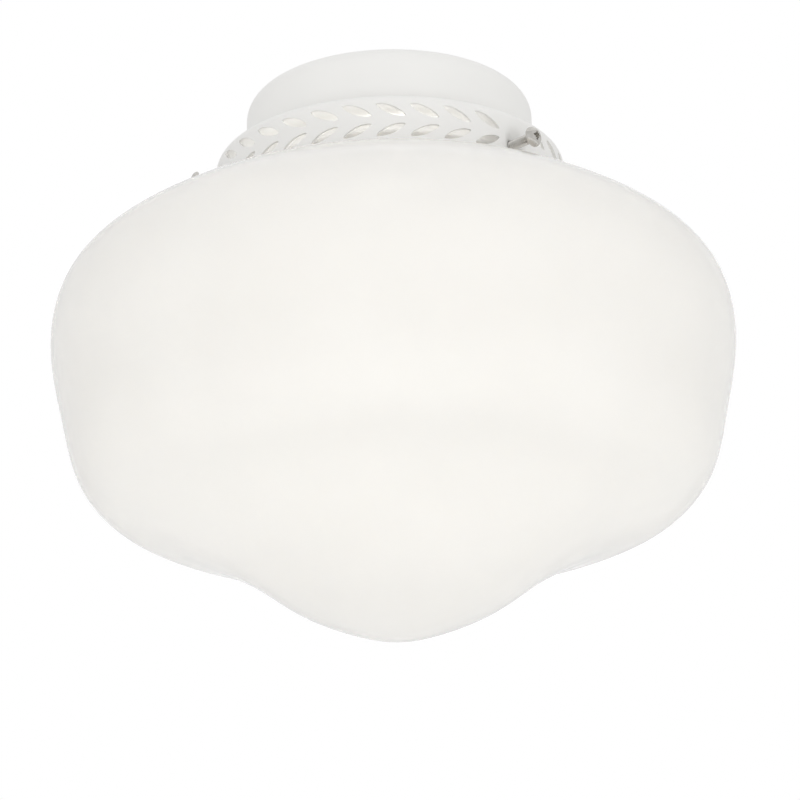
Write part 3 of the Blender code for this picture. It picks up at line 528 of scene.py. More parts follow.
def offset_outline(outline, distance):
    """The outline moved sideways, to the right of its direction."""
    moved = []
    for index, point in enumerate(outline):
        before = Vector(outline[max(index - 1, 0)])
        after = Vector(outline[min(index + 1, len(outline) - 1)])
        along = (after - before).normalized()
        moved.append((point[0] + along.y * distance, point[1] - along.x * distance))
    return moved


def radial_frame(azimuth, height):
    """A frame whose Z points outwards at an azimuth, with Y up and X along the wall."""
    outward = (math.sin(azimuth), -math.cos(azimuth), 0.0)
    along = (math.cos(azimuth), math.sin(azimuth), 0.0)
    place = Matrix((along, (0.0, 0.0, 1.0), outward)).transposed().to_4x4()
    place.translation = (0.0, 0.0, height)
    return place


def screw_azimuths():
    return [SCREW_FIRST_AZIMUTH + math.tau * index / SCREW_COUNT for index in range(SCREW_COUNT)]


# Shader nodes

def wire(tree, node, inputs):
    """Gives a node's inputs their values, or the outputs that feed them."""
    for key, value in inputs.items():
        if isinstance(value, bpy.types.NodeSocket):
            tree.links.new(value, node.inputs[key])
        else:
            node.inputs[key].default_value = value


def add_node(tree, kind, inputs=(), **settings):
    node = tree.nodes.new('ShaderNode' + kind)
    for name, value in settings.items():
        setattr(node, name, value)
    wire(tree, node, dict(inputs))
    return node


def new_material(name):
    material = bpy.data.materials.new(name)
    material.use_nodes = True
    return material, material.node_tree


# Shared effects: each group takes the size of its pattern, in metres

PATTERN_SIZE = 0.01
PATCH_DETAIL = 3.0
PATCH_SPREAD = (0.32, 0.68)
GRAIN_DETAIL = 2.0
SURFACE_IOR = 1.5


def ring_place(group, place):
    """Distance from the Z axis and height, so that a pattern runs in rings round the axis."""
    parts = add_node(group, 'SeparateXYZ', {"Vector": place}).outputs
    flat = add_node(group, 'CombineXYZ', {"X": parts["X"], "Y": parts["Y"]})
    reach = add_node(group, 'VectorMath', {0: flat.outputs["Vector"]}, operation='LENGTH')
    section = add_node(group, 'CombineXYZ', {"X": reach.outputs["Value"], "Y": parts["Z"]})
    return section.outputs["Vector"]


def pattern_group(name, output, detail, rings=False, spread=None):
    """A group that puts out noise in object space, from 0 to 1."""
    group = bpy.data.node_groups.new(name, 'ShaderNodeTree')
    size = group.interface.new_socket("Size", in_out='INPUT', socket_type='NodeSocketFloat')
    size.default_value = PATTERN_SIZE
    group.interface.new_socket(output, in_out='OUTPUT', socket_type='NodeSocketFloat')
    source = group.nodes.new('NodeGroupInput')
    place = add_node(group, 'TexCoord').outputs["Object"]
    if rings:
        place = ring_place(group, place)
    scale = add_node(group, 'Math', {0: 1.0, 1: source.outputs["Size"]}, operation='DIVIDE')
    noise = add_node(group, 'TexNoise', {"Detail": detail, "Vector": place,
                                         "Scale": scale.outputs[0]})
    result = noise.outputs["Fac"]
    if spread:
        result = add_node(group, 'MapRange', {"From Min": spread[0], "From Max": spread[1],
                                              "Value": result}).outputs["Result"]
    wire(group, group.nodes.new('NodeGroupOutput'), {output: result})
    return group


MOTTLE = pattern_group("soft_mottle", "Mask", PATCH_DETAIL, spread=PATCH_SPREAD)
GRAIN = pattern_group("fine_grain", "Height", GRAIN_DETAIL)
TURNING = pattern_group("turning_rings", "Height", GRAIN_DETAIL, rings=True)


# Finishes

def finish(name, dark, light, roughness, patch, grain, depth, metallic=0.0, marks=GRAIN,
           scatter=0.0):
    """A Principled material whose colour and gloss drift in patches over a fine relief."""
    material, tree = new_material(name)
    material.diffuse_color = (*light, 1.0)
    mask = add_node(tree, 'Group', {"Size": patch}, node_tree=MOTTLE).outputs["Mask"]
    colour = add_node(tree, 'Mix', {"A": (*dark, 1.0), "B": (*light, 1.0), "Factor": mask},
                      data_type='RGBA')
    gloss = add_node(tree, 'MapRange', {"To Min": roughness[0], "To Max": roughness[1],
                                        "Value": mask})
    relief = add_node(tree, 'Group', {"Size": grain}, node_tree=marks)
    bump = add_node(tree, 'Bump', {"Strength": 1.0, "Distance": depth,
                                   "Height": relief.outputs["Height"]})
    shader = tree.nodes["Principled BSDF"]
    wire(tree, shader, {"Metallic": metallic, "IOR": SURFACE_IOR,
                        "Base Color": colour.outputs["Result"],
                        "Roughness": gloss.outputs["Result"],
                        "Normal": bump.outputs["Normal"]})
    if scatter:
        wire(tree, shader, {"Subsurface Weight": 1.0, "Subsurface Radius": (1.0, 1.0, 1.0),
                            "Subsurface Scale": scatter})
    return material


# By material slot, from the darker colour to the lighter; patch and grain are the
# sizes of the drift and of the relief, and depth is how deep the relief goes
FINISHES = {
    "white_paint": finish("white_enamel", dark=(0.888, 0.882, 0.862), light=(0.903, 0.897, 0.877),
                          roughness=(0.30, 0.38), patch=0.030, grain=0.0011, depth=0.000012),
    "opal_glass": finish("opal_glass", dark=(0.824, 0.811, 0.787), light=(0.838, 0.826, 0.803),
                         roughness=(0.06, 0.10), patch=0.045, grain=0.020, depth=0.00006,
                         scatter=0.004),
    "nickel": finish("bright_nickel", dark=(0.52, 0.505, 0.475), light=(0.62, 0.605, 0.575),
                     roughness=(0.09, 0.17), patch=0.002, grain=0.0004, depth=0.000004,
                     metallic=1.0),
    "zinc": finish("zinc_plate", dark=(0.55, 0.57, 0.58), light=(0.68, 0.68, 0.66),
                   roughness=(0.26, 0.42), patch=0.004, grain=0.0005, depth=0.000008,
                   metallic=1.0),
    "brass": finish("drawn_brass", dark=(0.72, 0.53, 0.25), light=(0.82, 0.65, 0.34),
                    roughness=(0.20, 0.34), patch=0.005, grain=0.0004, depth=0.000005,
                    metallic=1.0, marks=TURNING),
    "porcelain": finish("glazed_porcelain", dark=(0.84, 0.83, 0.79), light=(0.88, 0.87, 0.84),
                        roughness=(0.08, 0.14), patch=0.012, grain=0.004, depth=0.00004),
    "aluminium": finish("drawn_aluminium", dark=(0.76, 0.76, 0.76), light=(0.84, 0.84, 0.84),
                        roughness=(0.22, 0.36), patch=0.005, grain=0.0004, depth=0.000005,
                        metallic=1.0, marks=TURNING),
    "black_glass": finish("black_glass", dark=(0.012, 0.012, 0.018), light=(0.030, 0.028, 0.036),
                          roughness=(0.08, 0.18), patch=0.003, grain=0.0012, depth=0.00001),
    "frosted_glass": finish("frosted_glass", dark=(0.88, 0.88, 0.87), light=(0.93, 0.93, 0.92),
                            roughness=(0.32, 0.45), patch=0.020, grain=0.0006, depth=0.000006),
    "black_plastic": finish("black_plastic", dark=(0.022, 0.022, 0.024),
                            light=(0.040, 0.040, 0.042), roughness=(0.38, 0.52),
                            patch=0.006, grain=0.0006, depth=0.00001),
    "white_plastic": finish("white_plastic", dark=(0.76, 0.76, 0.73), light=(0.82, 0.82, 0.80),
                            roughness=(0.38, 0.50), patch=0.006, grain=0.0006, depth=0.00001),
    "grey_plastic": finish("grey_plastic", dark=(0.40, 0.41, 0.43), light=(0.48, 0.49, 0.51),
                           roughness=(0.42, 0.55), patch=0.006, grain=0.0006, depth=0.00001),
}


def finish_piece(item, name, slot, node, body="kit"):
    """Names and dresses a piece, which rides on its body and stands for its CAD node."""
    item.name = name
    item.data.name = name
    item.data.materials.clear()
    item.data.materials.append(FINISHES[slot])
    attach(item, body)
    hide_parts(node)


# Pan

def make_pan():
    low, top, radius = span("fitter_pan")
    corner = (radius - PAN_CORNER_RADIUS, top - PAN_CORNER_RADIUS)
    rim = (radius - PAN_RIM_RADIUS, low + PAN_RIM_RADIUS)
    edge = PAN_COINED_DEPTH
    coined = top - edge
    outline = [(STEM_HOLE_RADIUS, top - PAN_WALL), (STEM_HOLE_RADIUS, coined - edge),
               (STEM_HOLE_RADIUS + edge, coined), (PAN_COINED_RADIUS, coined),
               (PAN_COINED_RADIUS + edge, top), (radius * OUTER_RING, top)]
    outline += arc(corner, PAN_CORNER_RADIUS, 90, 0, 16)
    outline += [(radius, (low + corner[1]) / 2)]
    outline += arc(rim, PAN_RIM_RADIUS, 0, -90, 10)
    outline += arc(rim, PAN_RIM_RADIUS - PAN_WALL, -90, 0, 8)
    outline += arc(corner, PAN_CORNER_RADIUS - PAN_WALL, 0, 90, 12)
    pan = smooth(turned(outline + [outline[0]], PAN_SEGMENTS))
    finish_piece(pan, "drawn_pan", "white_paint", "fitter_pan")


# Skirt

def leaf_cutter(depth):
    """A leaf from one tip at the origin to the other along X, long enough to punch the wall."""
    upper = []
    for index in range(LEAF_EDGE_SPANS + 1):
        share = (1 - math.cos(math.pi * index / LEAF_EDGE_SPANS)) / 2
        half_width = LEAF_HALF_WIDTH * (4 * share * (1 - share)) ** LEAF_POINTEDNESS
        upper.append((LEAF_LENGTH * share, half_width))
    return flat_shape(upper + [(x, -z) for x, z in reversed(upper[1:-1])], 2 * depth)


def flat_blank(columns):
    """A flat stretch of the wall along X, its outer face at Y 0, and how wide it is."""
    start_new()
    bpy.ops.mesh.primitive_grid_add(x_subdivisions=columns, y_subdivisions=BLANK_ROWS,
                                    size=1.0, rotation=(math.pi / 2, 0.0, 0.0))
    blank = settle(bpy.context.object)
    width = columns * COLUMN_ANGLE * SKIRT_RADIUS
    blank.scale = (width, 1.0, WALL_TOP - WALL_BOTTOM)
    blank.location = (0.0, 0.0, (WALL_BOTTOM + WALL_TOP) / 2)
    edit(settle(blank))
    bpy.ops.mesh.extrude_region_move(TRANSFORM_OT_translate={"value": (0.0, SKIRT_WALL, 0.0)})
    return clean(end_edit(blank)), width


def on_side(face, half_width):
    """Whether a face is one of the blank's four cut sides."""
    centre = face.center
    on_end = abs(abs(centre.x) - half_width) < MERGE_DISTANCE
    on_edge = min(abs(centre.z - WALL_BOTTOM), abs(centre.z - WALL_TOP)) < MERGE_DISTANCE
    return abs(face.normal.y) < CUT_FACE_LIMIT and (on_end or on_edge)


def round_vent_edges(blank, half_width):
    """Breaks the edges of the punched vents, on both faces of the wall."""
    vertices = blank.data.vertices
    rims = set()
    for face in blank.data.polygons:
        if abs(face.normal.y) < CUT_FACE_LIMIT and not on_side(face, half_width):
            rims.update(tuple(sorted(key)) for key in face.edge_keys)

    def on_rim(edge):
        first, second = edge.vertices
        level = abs(vertices[first].co.y - vertices[second].co.y) < MERGE_DISTANCE
        return level and tuple(sorted((first, second))) in rims

    work_on(blank, 'EDGE', blank.data.edges, on_rim, bpy.ops.mesh.bevel,
            offset=LEAF_EDGE_BEVEL, segments=2, affect='EDGES', clamp_overlap=True)


def rolled_up(blank, width):
    """Opens the sides of a flat stretch and bends it round the Z axis, at the skirt's radius."""
    work_on(blank, 'FACE', blank.data.polygons, lambda face: on_side(face, width / 2),
            bpy.ops.mesh.delete, type='FACE')
    bend = blank.modifiers.new("rolled", 'SIMPLE_DEFORM')
    bend.deform_method = 'BEND'
    bend.deform_axis = 'Z'
    bend.angle = width / SKIRT_RADIUS
    apply_modifiers(blank)
    blank.location.y = -SKIRT_RADIUS
    return settle(blank)


def leaf_blank():
    """A stretch of the wall with an upper and a lower leaf that slant towards each other."""
    blank, width = flat_blank(LEAF_BLANK_COLUMNS)
    slant = math.asin(LEAF_TIP_DROP / LEAF_LENGTH)
    reach = LEAF_LENGTH * math.cos(slant)
    middle = SKIRT_TOP - LEAF_TOP_DEPTH - LEAF_TIP_DROP - LEAF_BAND_GAP / 2
    leaf = leaf_cutter(OVERRUN)
    for side in (1, -1):
        height = middle + side * (LEAF_BAND_GAP / 2 + LEAF_TIP_DROP)
        place = Matrix.Translation((-reach / 2, 0.0, height))
        cut(blank, copy_of(leaf, place @ Matrix.Rotation(side * slant, 4, 'Y')))
    drop(leaf)
    round_vent_edges(blank, width / 2)
    return rolled_up(blank, width)


def screw_blank():
    """A stretch of the wall with a soft dimple and, behind it, the collar for the screw."""
    blank, width = flat_blank(SCREW_BLANK_COLUMNS)
    for vertex in blank.data.vertices:
        share = math.hypot(vertex.co.x / DIMPLE_HALF_WIDTH,
                           (vertex.co.z - SCREW_Z) / DIMPLE_HALF_HEIGHT)
        vertex.co.y += DIMPLE_DEPTH * (1 + math.cos(math.pi * min(share, 1.0))) / 2
    root = DIMPLE_DEPTH + SKIRT_WALL / 2
    into_wall = Matrix.Translation((0.0, 0.0, SCREW_Z)) @ Matrix.Rotation(-math.pi / 2, 4, 'X')
    collar = rod(COLLAR_RADIUS, root, root + COLLAR_LENGTH, HARDWARE_SEGMENTS, SKIRT_EDGE_RADIUS)
    collar.data.transform(into_wall)
    cut(blank, collar, 'UNION')
    bore = rod(GLOBE_SCREW[0] + SEAT_GAP, -OVERRUN, root + COLLAR_LENGTH + OVERRUN,
               HARDWARE_SEGMENTS)
    bore.data.transform(into_wall)
    cut(blank, bore)
    return rolled_up(blank, width)


def make_vented_wall():
    """The wall of the skirt: its blanks are modelled once and set round the axis."""
    leaf = leaf_blank()
    plain = screw_blank()
    lead = (SCREW_BLANK_COLUMNS + LEAF_BLANK_COLUMNS) / 2
    blanks = []
    for first in screw_azimuths():
        blanks.append(copy_of(plain, Matrix.Rotation(first, 4, 'Z')))
        for index in range(LEAVES_PER_SECTOR):
            turn = first + COLUMN_ANGLE * (lead + LEAF_BLANK_COLUMNS * index)
            blanks.append(copy_of(leaf, Matrix.Rotation(turn, 4, 'Z')))
    drop(plain)
    drop(leaf)
    return blanks


def skirt_top_outline():
    """The plate with its wire hole and the rounded corner, open where the wall goes on."""
    corner = (SKIRT_RADIUS - SKIRT_CORNER_RADIUS, WALL_TOP)
    edge = SKIRT_EDGE_RADIUS
    hole = WIRE_HOLE_RADIUS + edge
    bottom = SKIRT_TOP - SKIRT_WALL
    outer, inner = SKIRT_RADIUS * OUTER_RING, SKIRT_RADIUS * INNER_RING
    outline = arc(corner, SKIRT_CORNER_RADIUS, 0, 90, 10)
    outline += [(outer, SKIRT_TOP), (inner, SKIRT_TOP)]
    outline += arc((hole, SKIRT_TOP - edge), edge, 90, 180, 2)
    outline += arc((hole, bottom + edge), edge, 180, 270, 2)
    outline += [(inner, bottom), (outer, bottom)]
    return outline + arc(corner, SKIRT_CORNER_RADIUS - SKIRT_WALL, 90, 0, 8)


def skirt_hem_outline():
    """The folded edge under the wall, open where the wall begins."""
    inner = SKIRT_RADIUS - SKIRT_WALL
    bend = SKIRT_HEM_WIDTH / 2
    edge = SKIRT_EDGE_RADIUS
    fold = SKIRT_RADIUS - SKIRT_HEM_WIDTH + edge
    outline = [(SKIRT_RADIUS, WALL_BOTTOM)]
    outline += arc((SKIRT_RADIUS - bend, SKIRT_BOTTOM + bend), bend, 0, -180, 12)
    outline += arc((fold, WALL_BOTTOM - edge), edge, 180, 90, 2)
    return outline + [(inner - edge, WALL_BOTTOM - edge / 2), (inner, WALL_BOTTOM)]


def make_skirt():
    parts = make_vented_wall()
    for outline in (skirt_top_outline(), skirt_hem_outline()):
        parts.append(turned(outline, SCREW_COUNT * SECTOR_COLUMNS,
                            SCREW_FIRST_AZIMUTH - math.pi / 2))
    skirt = clean(join(parts))
    for reach, bolt in ((FITTER_BOLT_REACH, FITTER_BOLT), (HOLDER_BOLT_REACH, HOLDER_BOLT)):
        drill(skirt, bolt[0] + SEAT_GAP, both_sides(reach), SKIRT_TOP - SKIRT_WALL - OVERRUN,
              SKIRT_TOP + OVERRUN)
    finish_piece(smooth(skirt), "stamped_skirt", "white_paint", "fitter_skirt")


# Globe

def globe_outline(pole, widest):
    """From the foot of the neck's fillet down the outside to the lowest point."""
    foot = (NECK_RADIUS + NECK_FILLET, SHOULDER_Z)
    body = [foot]
    for radius_share, height_share in GLOBE_OUTLINE_SHARES:
        body.append((widest * radius_share, SHOULDER_Z - (SHOULDER_Z - pole) * height_share))
    body.append((0.0, pole))
    lead_in = (2 * foot[0] - body[1][0], foot[1])
    lead_out = (-body[-2][0], body[-2][1])
    curve = fair_curve([lead_in] + body + [lead_out], GLOBE_STEPS)
    reach = max(radius for radius, _ in curve)
    return [(radius * widest / reach, height) for radius, height in curve]


def make_globe():
    pole, lip_top, widest = span("glass_globe")
    outer = globe_outline(pole, widest)
    inner = offset_outline(outer, GLASS_WALL)
    inner[0] = (outer[0][0], outer[0][1] - GLASS_WALL)
    inner[-1] = (0.0, outer[-1][1] + GLASS_WALL)
    outer[-1] = (0.0, outer[-1][1])
    fillet = (outer[0][0], outer[0][1] + NECK_FILLET)
    lip_bottom = lip_top - LIP_HEIGHT
    edge = LIP_EDGE_RADIUS
    outline = list(reversed(inner))
    outline += arc(fillet, NECK_FILLET + GLASS_WALL, 270, 180, 12)[1:]
    outline += arc((NECK_RADIUS - GLASS_WALL + edge, lip_top - edge), edge, 180, 90, 5)
    outline += arc((LIP_RADIUS - edge, lip_top - edge), edge, 90, 0, 5)
    outline += arc((LIP_RADIUS - edge, lip_bottom + edge), edge, 0, -90, 5)
    outline += arc((NECK_RADIUS + edge / 2, lip_bottom - edge / 2), edge / 2, 90, 180, 3)
    outline += arc(fillet, NECK_FILLET, 180, 270, 10)[:-1]
    globe = smooth(turned(outline + outer, GLOBE_SEGMENTS), BLOWN_SHADING)
    finish_piece(globe, "opal_globe", "opal_glass", "glass_globe", "globe")


# Screws and bolts

def cross_recess(radius, top, depth):
    """The cutter of a cross recess: two tapered blades with a blunt middle."""
    blades = []
    for turn in (0.0, math.pi / 2):
        start_new()
        bpy.ops.mesh.primitive_cube_add(size=1.0, location=(0.0, 0.0, top))
        blade = bpy.context.object
        blade.scale = (radius * RECESS_BLADE[0], radius * RECESS_BLADE[1], 2 * depth)
        settle(blade)
        for vertex in blade.data.vertices:
            if vertex.co.z < top:
                vertex.co.x *= RECESS_TAPER[0]
                vertex.co.y *= RECESS_TAPER[1]
        blade.data.transform(Matrix.Rotation(turn, 4, 'Z'))
        blades.append(blade)
    cutter = cut(blades[0], blades[1], 'UNION')
    core = rod(radius * RECESS_CORE_RADIUS, top - depth * RECESS_CORE_DEPTH, top + depth, 4)
    core.data.transform(Matrix.Rotation(math.pi / 4, 4, 'Z'))
    return cut(cutter, core, 'UNION')


def pan_head_screw(size, segments):
    """A pan-head screw along Z, with the underside of its head at the origin."""
    radius, length, head_radius, head_height = size
    edge = head_height * HEAD_EDGE
    chamfer = SCREW_PITCH * THREAD_CHAMFER
    outline = [(0.0, -length), (radius - chamfer, -length), (radius, chamfer - length)]
    outline += thread_rows(radius, chamfer - length, 0.0, SCREW_PITCH)
    outline += [(radius, 0.0), (head_radius * HEAD_FOOT, 0.0)]
    for index in range(HEAD_STEPS):
        turn = math.pi / 2 * index / HEAD_STEPS
        outline.append((head_radius * math.cos(turn) ** HEAD_FULLNESS,
                        edge + (head_height - edge) * math.sin(turn)))
    screw = turned(outline + [(0.0, head_height)], segments)
    wave_thread(screw, -length, -SCREW_PLAIN_END, SCREW_PITCH, SCREW_PITCH * THREAD_DEPTH_SHARE,
                True)
    cut(screw, cross_recess(head_radius, head_height, head_height * RECESS_DEPTH))
    return smooth(screw, EDGED_SHADING)


def make_globe_screws():
    model = pan_head_screw(GLOBE_SCREW, SCREW_SEGMENTS)
    under_head = NECK_RADIUS + SCREW_NECK_GAP + GLOBE_SCREW[1]
    for side, azimuth in zip(("right", "back", "left"), screw_azimuths()):
        place = radial_frame(azimuth, SCREW_Z) @ Matrix.Translation((0.0, 0.0, under_head))
        finish_piece(copy_of(model, place), "holding_screw_" + side, "nickel",
                     "globe_screw_" + side, "screw_" + side)
    drop(model)


def make_bolts():
    """The two bolts of the skirt, heads down, and the two of the lampholder, heads up."""
    under_plate = SKIRT_TOP - SKIRT_WALL - SEAT_GAP
    over_plate = SKIRT_TOP + SEAT_GAP
    pairs = (("fitter_bolt_", FITTER_BOLT, FITTER_BOLT_REACH, under_plate, math.pi),
             ("lampholder_bolt_", HOLDER_BOLT, HOLDER_BOLT_REACH, over_plate, 0.0))
    for name, size, reach, height, turn in pairs:
        model = pan_head_screw(size, SMALL_SEGMENTS)
        for side, (x, _) in zip(("left", "right"), both_sides(reach)):
            place = Matrix.Translation((x, 0.0, height)) @ Matrix.Rotation(turn, 4, 'X')
            finish_piece(copy_of(model, place), "turned_" + name + side, "zinc", name + side)
        drop(model)


# Stem, nuts, washers and crossbar

def make_stem():
    low, high, radius = span("inlet_stem")
    chamfer = STEM_PITCH * THREAD_CHAMFER
    outline = [(STEM_BORE_RADIUS, low), (radius - chamfer, low), (radius, low + chamfer)]
    outline += thread_rows(radius, low + chamfer, high - chamfer, STEM_PITCH)
    outline += [(radius, high - chamfer), (radius - chamfer, high), (STEM_BORE_RADIUS, high)]
    stem = turned(outline + [outline[0]], HARDWARE_SEGMENTS)
    wave_thread(stem, low, high, STEM_PITCH, STEM_PITCH * THREAD_DEPTH_SHARE, True)
    finish_piece(smooth(stem, EDGED_SHADING), "threaded_stem", "zinc", "inlet_stem")


def make_nut(node):
    """A hexagon nut with chamfered corners and a countersunk bore."""
    low, high, corner = span(node)
    start_new()
    bpy.ops.mesh.primitive_cylinder_add(vertices=6, radius=corner, depth=high - low,
                                        location=(0.0, 0.0, (low + high) / 2),
                                        rotation=(0.0, 0.0, math.pi / 2))
    nut = settle(bpy.context.object)
    rise = (high - low) * NUT_RISE
    wide = corner * NUT_WIDE
    flat = corner * NUT_FLAT
    dome = turned([(0.0, high), (flat, high), (wide, high - rise * NUT_DOME_RISES),
                   (wide, low + rise * NUT_DOME_RISES), (flat, low), (0.0, low)],
                  HOLDER_SEGMENTS)
    cut(nut, dome, 'INTERSECT')
    hole = STEM_HOLE_RADIUS
    sink = hole + STEM_PITCH * NUT_SINK_PITCHES
    bore = turned([(0.0, high + OVERRUN), (sink + OVERRUN, high + OVERRUN), (sink, high),
                   (hole, high - rise), (hole, low + rise), (sink, low),
                   (sink + OVERRUN, low - OVERRUN), (0.0, low - OVERRUN)],
                  HARDWARE_SEGMENTS)
    cut(nut, bore)
    finish_piece(smooth(nut, FACETED_SHADING), "chamfered_" + node, "zinc", node)


def make_washer(node):
    """An internal-tooth lock washer: a ring with teeth that are twisted out of its plane."""
    low, high, outer = span(node)
    middle = (low + high) / 2
    inner = outer - WASHER_RING_WIDTH
    edge = WASHER_METAL / 4
    outline = arc((outer - edge, middle + edge), edge, 90, 0, 2)
    outline += arc((outer - edge, middle - edge), edge, 0, -90, 2)
    outline += arc((inner + edge, middle - edge), edge, 270, 180, 2)
    outline += arc((inner + edge, middle + edge), edge, 180, 90, 2)
    ring = turned(outline + [outline[0]], SHELL_SEGMENTS)
    reach = inner + 2 * edge - STEM_HOLE_RADIUS
    for index in range(TOOTH_COUNT):
        start_new()
        bpy.ops.mesh.primitive_cube_add(size=1.0)
        tooth = bpy.context.object
        tooth.scale = (reach, math.tau * inner / TOOTH_COUNT * TOOTH_WIDTH,
                       WASHER_METAL * TOOTH_METAL)
        soften(settle(tooth), WASHER_METAL * TOOTH_EDGE, 1)
        tooth.data.transform(Matrix.Rotation(TOOTH_TWIST, 4, 'X'))
        tooth.data.transform(Matrix.Translation((STEM_HOLE_RADIUS + reach / 2, 0.0, middle)))
        tooth.data.transform(Matrix.Rotation(math.tau * index / TOOTH_COUNT, 4, 'Z'))
        cut(ring, tooth, 'UNION')
    finish_piece(smooth(ring, EDGED_SHADING), "toothed_" + node, "zinc", node)


def make_crossbar():
    low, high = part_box("crossbar")
    foot = low.z
    thick = CROSSBAR_THICKNESS
    bend = CROSSBAR_BEND_RADIUS
    upper_bend = (CROSSBAR_LEG_REACH - bend, high.z - bend)
    lower_bend = (CROSSBAR_LEG_REACH - thick + bend, foot + bend)
    right = arc(upper_bend, bend, 90, 0, 8)
    right += arc(lower_bend, bend - thick, 180, 270, 6)
    right += [(high.x, foot + thick), (high.x, foot)]
    right += arc(lower_bend, bend, 270, 180, 8)
    right += arc(upper_bend, bend - thick, 0, 90, 6)
    strap = flat_shape(right + [(-x, z) for x, z in reversed(right)], high.y - low.y)
    soften(strap, thick * CROSSBAR_EDGE, degrees=STRIP_SOFTENED_ANGLE)
    drill(strap, STEM_HOLE_RADIUS, ((0.0, 0.0),), high.z - thick - OVERRUN, high.z + OVERRUN)
    drill(strap, FITTER_BOLT[0] + SEAT_GAP, both_sides(FITTER_BOLT_REACH), foot - OVERRUN,
          foot + thick + OVERRUN)
    finish_piece(smooth(strap, EDGED_SHADING), "bent_crossbar", "zinc", "crossbar")


# Wire bushing and lampholder

def make_bushing():
    low, top, wide = span("wire_bushing")
    sleeve = WIRE_HOLE_RADIUS - SEAT_GAP
    flange = SKIRT_TOP + SEAT_GAP
    edge = (top - flange) / 3
    bore = BUSHING_BORE_RADIUS + edge
    outline = arc((wide - edge, top - edge), edge, 90, 0, 4)
    outline += arc((wide - edge, flange + edge), edge, 0, -90, 4)
    outline += [(sleeve, flange), (sleeve, low + edge / 2), (sleeve - edge / 2, low), (bore, low)]
    outline += arc((bore, low + edge), edge, 270, 180, 4)
    outline += arc((bore, top - edge), edge, 180, 90, 4)
    bushing = smooth(turned(outline + [outline[0]], SLEEVE_SEGMENTS))
    finish_piece(bushing, "snap_bushing", "grey_plastic", "wire_bushing")


def make_lampholder():
    rim, top, wide = span("lampholder_body")
    edge = HOLDER_EDGE_RADIUS
    small = edge / 2
    waist = HOLDER_WAIST_RADIUS
    well_floor = top - HOLDER_WELL_DEPTH
    bore_floor = well_floor - HOLDER_FLOOR_THICKNESS
    step = (HOLDER_TOP_RADIUS - waist) / 2
    flare = (wide - waist) / 2
    band = top - HOLDER_TOP_BAND
    lower_band = rim + HOLDER_RIM_BAND
    outline = [(0.0, well_floor), (HOLDER_WELL_RADIUS - small, well_floor)]
    outline += arc((HOLDER_WELL_RADIUS - small, well_floor + small), small, 270, 360, 3)
    outline += arc((HOLDER_WELL_RADIUS + small, top - small), small, 180, 90, 3)
    outline += arc((HOLDER_TOP_RADIUS - edge, top - edge), edge, 90, 0, 6)
    outline += arc((HOLDER_TOP_RADIUS - step, band + step), step, 0, -90, 4)
    outline += arc((waist + step, band - step), step, 90, 180, 4)
    outline += arc((waist + flare, lower_band + flare), flare, 180, 270, 4)
    outline += arc((wide - flare, lower_band - flare), flare, 90, 0, 4)
    outline += arc((wide - edge, rim + edge), edge, 0, -90, 6)
    outline += arc((HOLDER_BORE_RADIUS + small, rim + small), small, 270, 180, 3)
    outline += [(HOLDER_BORE_RADIUS, (rim + bore_floor) / 2), (HOLDER_BORE_RADIUS, bore_floor),
                (0.0, bore_floor)]
    holder = turned(outline, HOLDER_SEGMENTS)
    drill(holder, HOLDER_BOLT[0] + SEAT_GAP, both_sides(HOLDER_BOLT_REACH),
          SKIRT_TOP - HOLDER_BOLT[1], top + OVERRUN)
    drill(holder, RIVET_RADIUS + SEAT_GAP, ((0.0, 0.0), (0.0, NEUTRAL_RIVET_REACH)),
          bore_floor - OVERRUN, well_floor + OVERRUN)
    finish_piece(smooth(holder), "glazed_lampholder", "porcelain", "lampholder_body")


def make_screw_shell():
    low, top, outer = span("screw_shell")
    metal = SHELL_METAL
    inner = outer - metal
    corner = (outer - 2 * metal, top - 2 * metal)
    outline = [(SHELL_EYE_RADIUS, top - metal), (SHELL_EYE_RADIUS, top)]
    outline += arc(corner, 2 * metal, 90, 0, 4)
    outline += wall_points(outer, top - 2 * metal, low, SHELL_ROWS)
    outline += [(outer, low), (inner, low)]
    outline += wall_points(inner, low, top - 2 * metal, SHELL_ROWS)
    outline += arc(corner, metal, 0, 90, 4)
    shell = turned(outline + [outline[0]], SHELL_SEGMENTS)
    wave_thread(shell, low + metal, top - 4 * metal, LAMP_THREAD_PITCH, SHELL_THREAD_DEPTH)
    drill(shell, RIVET_RADIUS + SEAT_GAP, ((0.0, NEUTRAL_RIVET_REACH),), top - OVERRUN,
          top + OVERRUN)
    finish_piece(smooth(shell, THREAD_SHADING), "lamp_thread_shell", "brass", "screw_shell")


def make_centre_contact():
    """A strip folded back under itself, whose free end presses on the lamp."""
    low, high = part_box("centre_contact")
    top = high.z
    thick = CONTACT_METAL
    half = CONTACT_HALF_LENGTH
    outside = CONTACT_FOLD_OUTSIDE * thick
    inside = CONTACT_FOLD_INSIDE * thick
    fold = (half, top - outside)
    outline = [(-half, top)]
    outline += arc(fold, outside, 90, CONTACT_FOLD_END, 10)[:-1]
    outline += [(low.x + thick / 2, low.z + thick / 4), (low.x, low.z + thick / 2),
                (low.x, low.z + thick)]
    outline += arc(fold, inside, CONTACT_FOLD_END, 90, 8)
    outline += [(-half, top - thick)]
    strip = flat_shape(outline, high.y - low.y)
    soften(strip, thick * CONTACT_EDGE, 1, STRIP_SOFTENED_ANGLE)
    finish_piece(smooth(strip, EDGED_SHADING), "sprung_contact", "brass", "centre_contact")


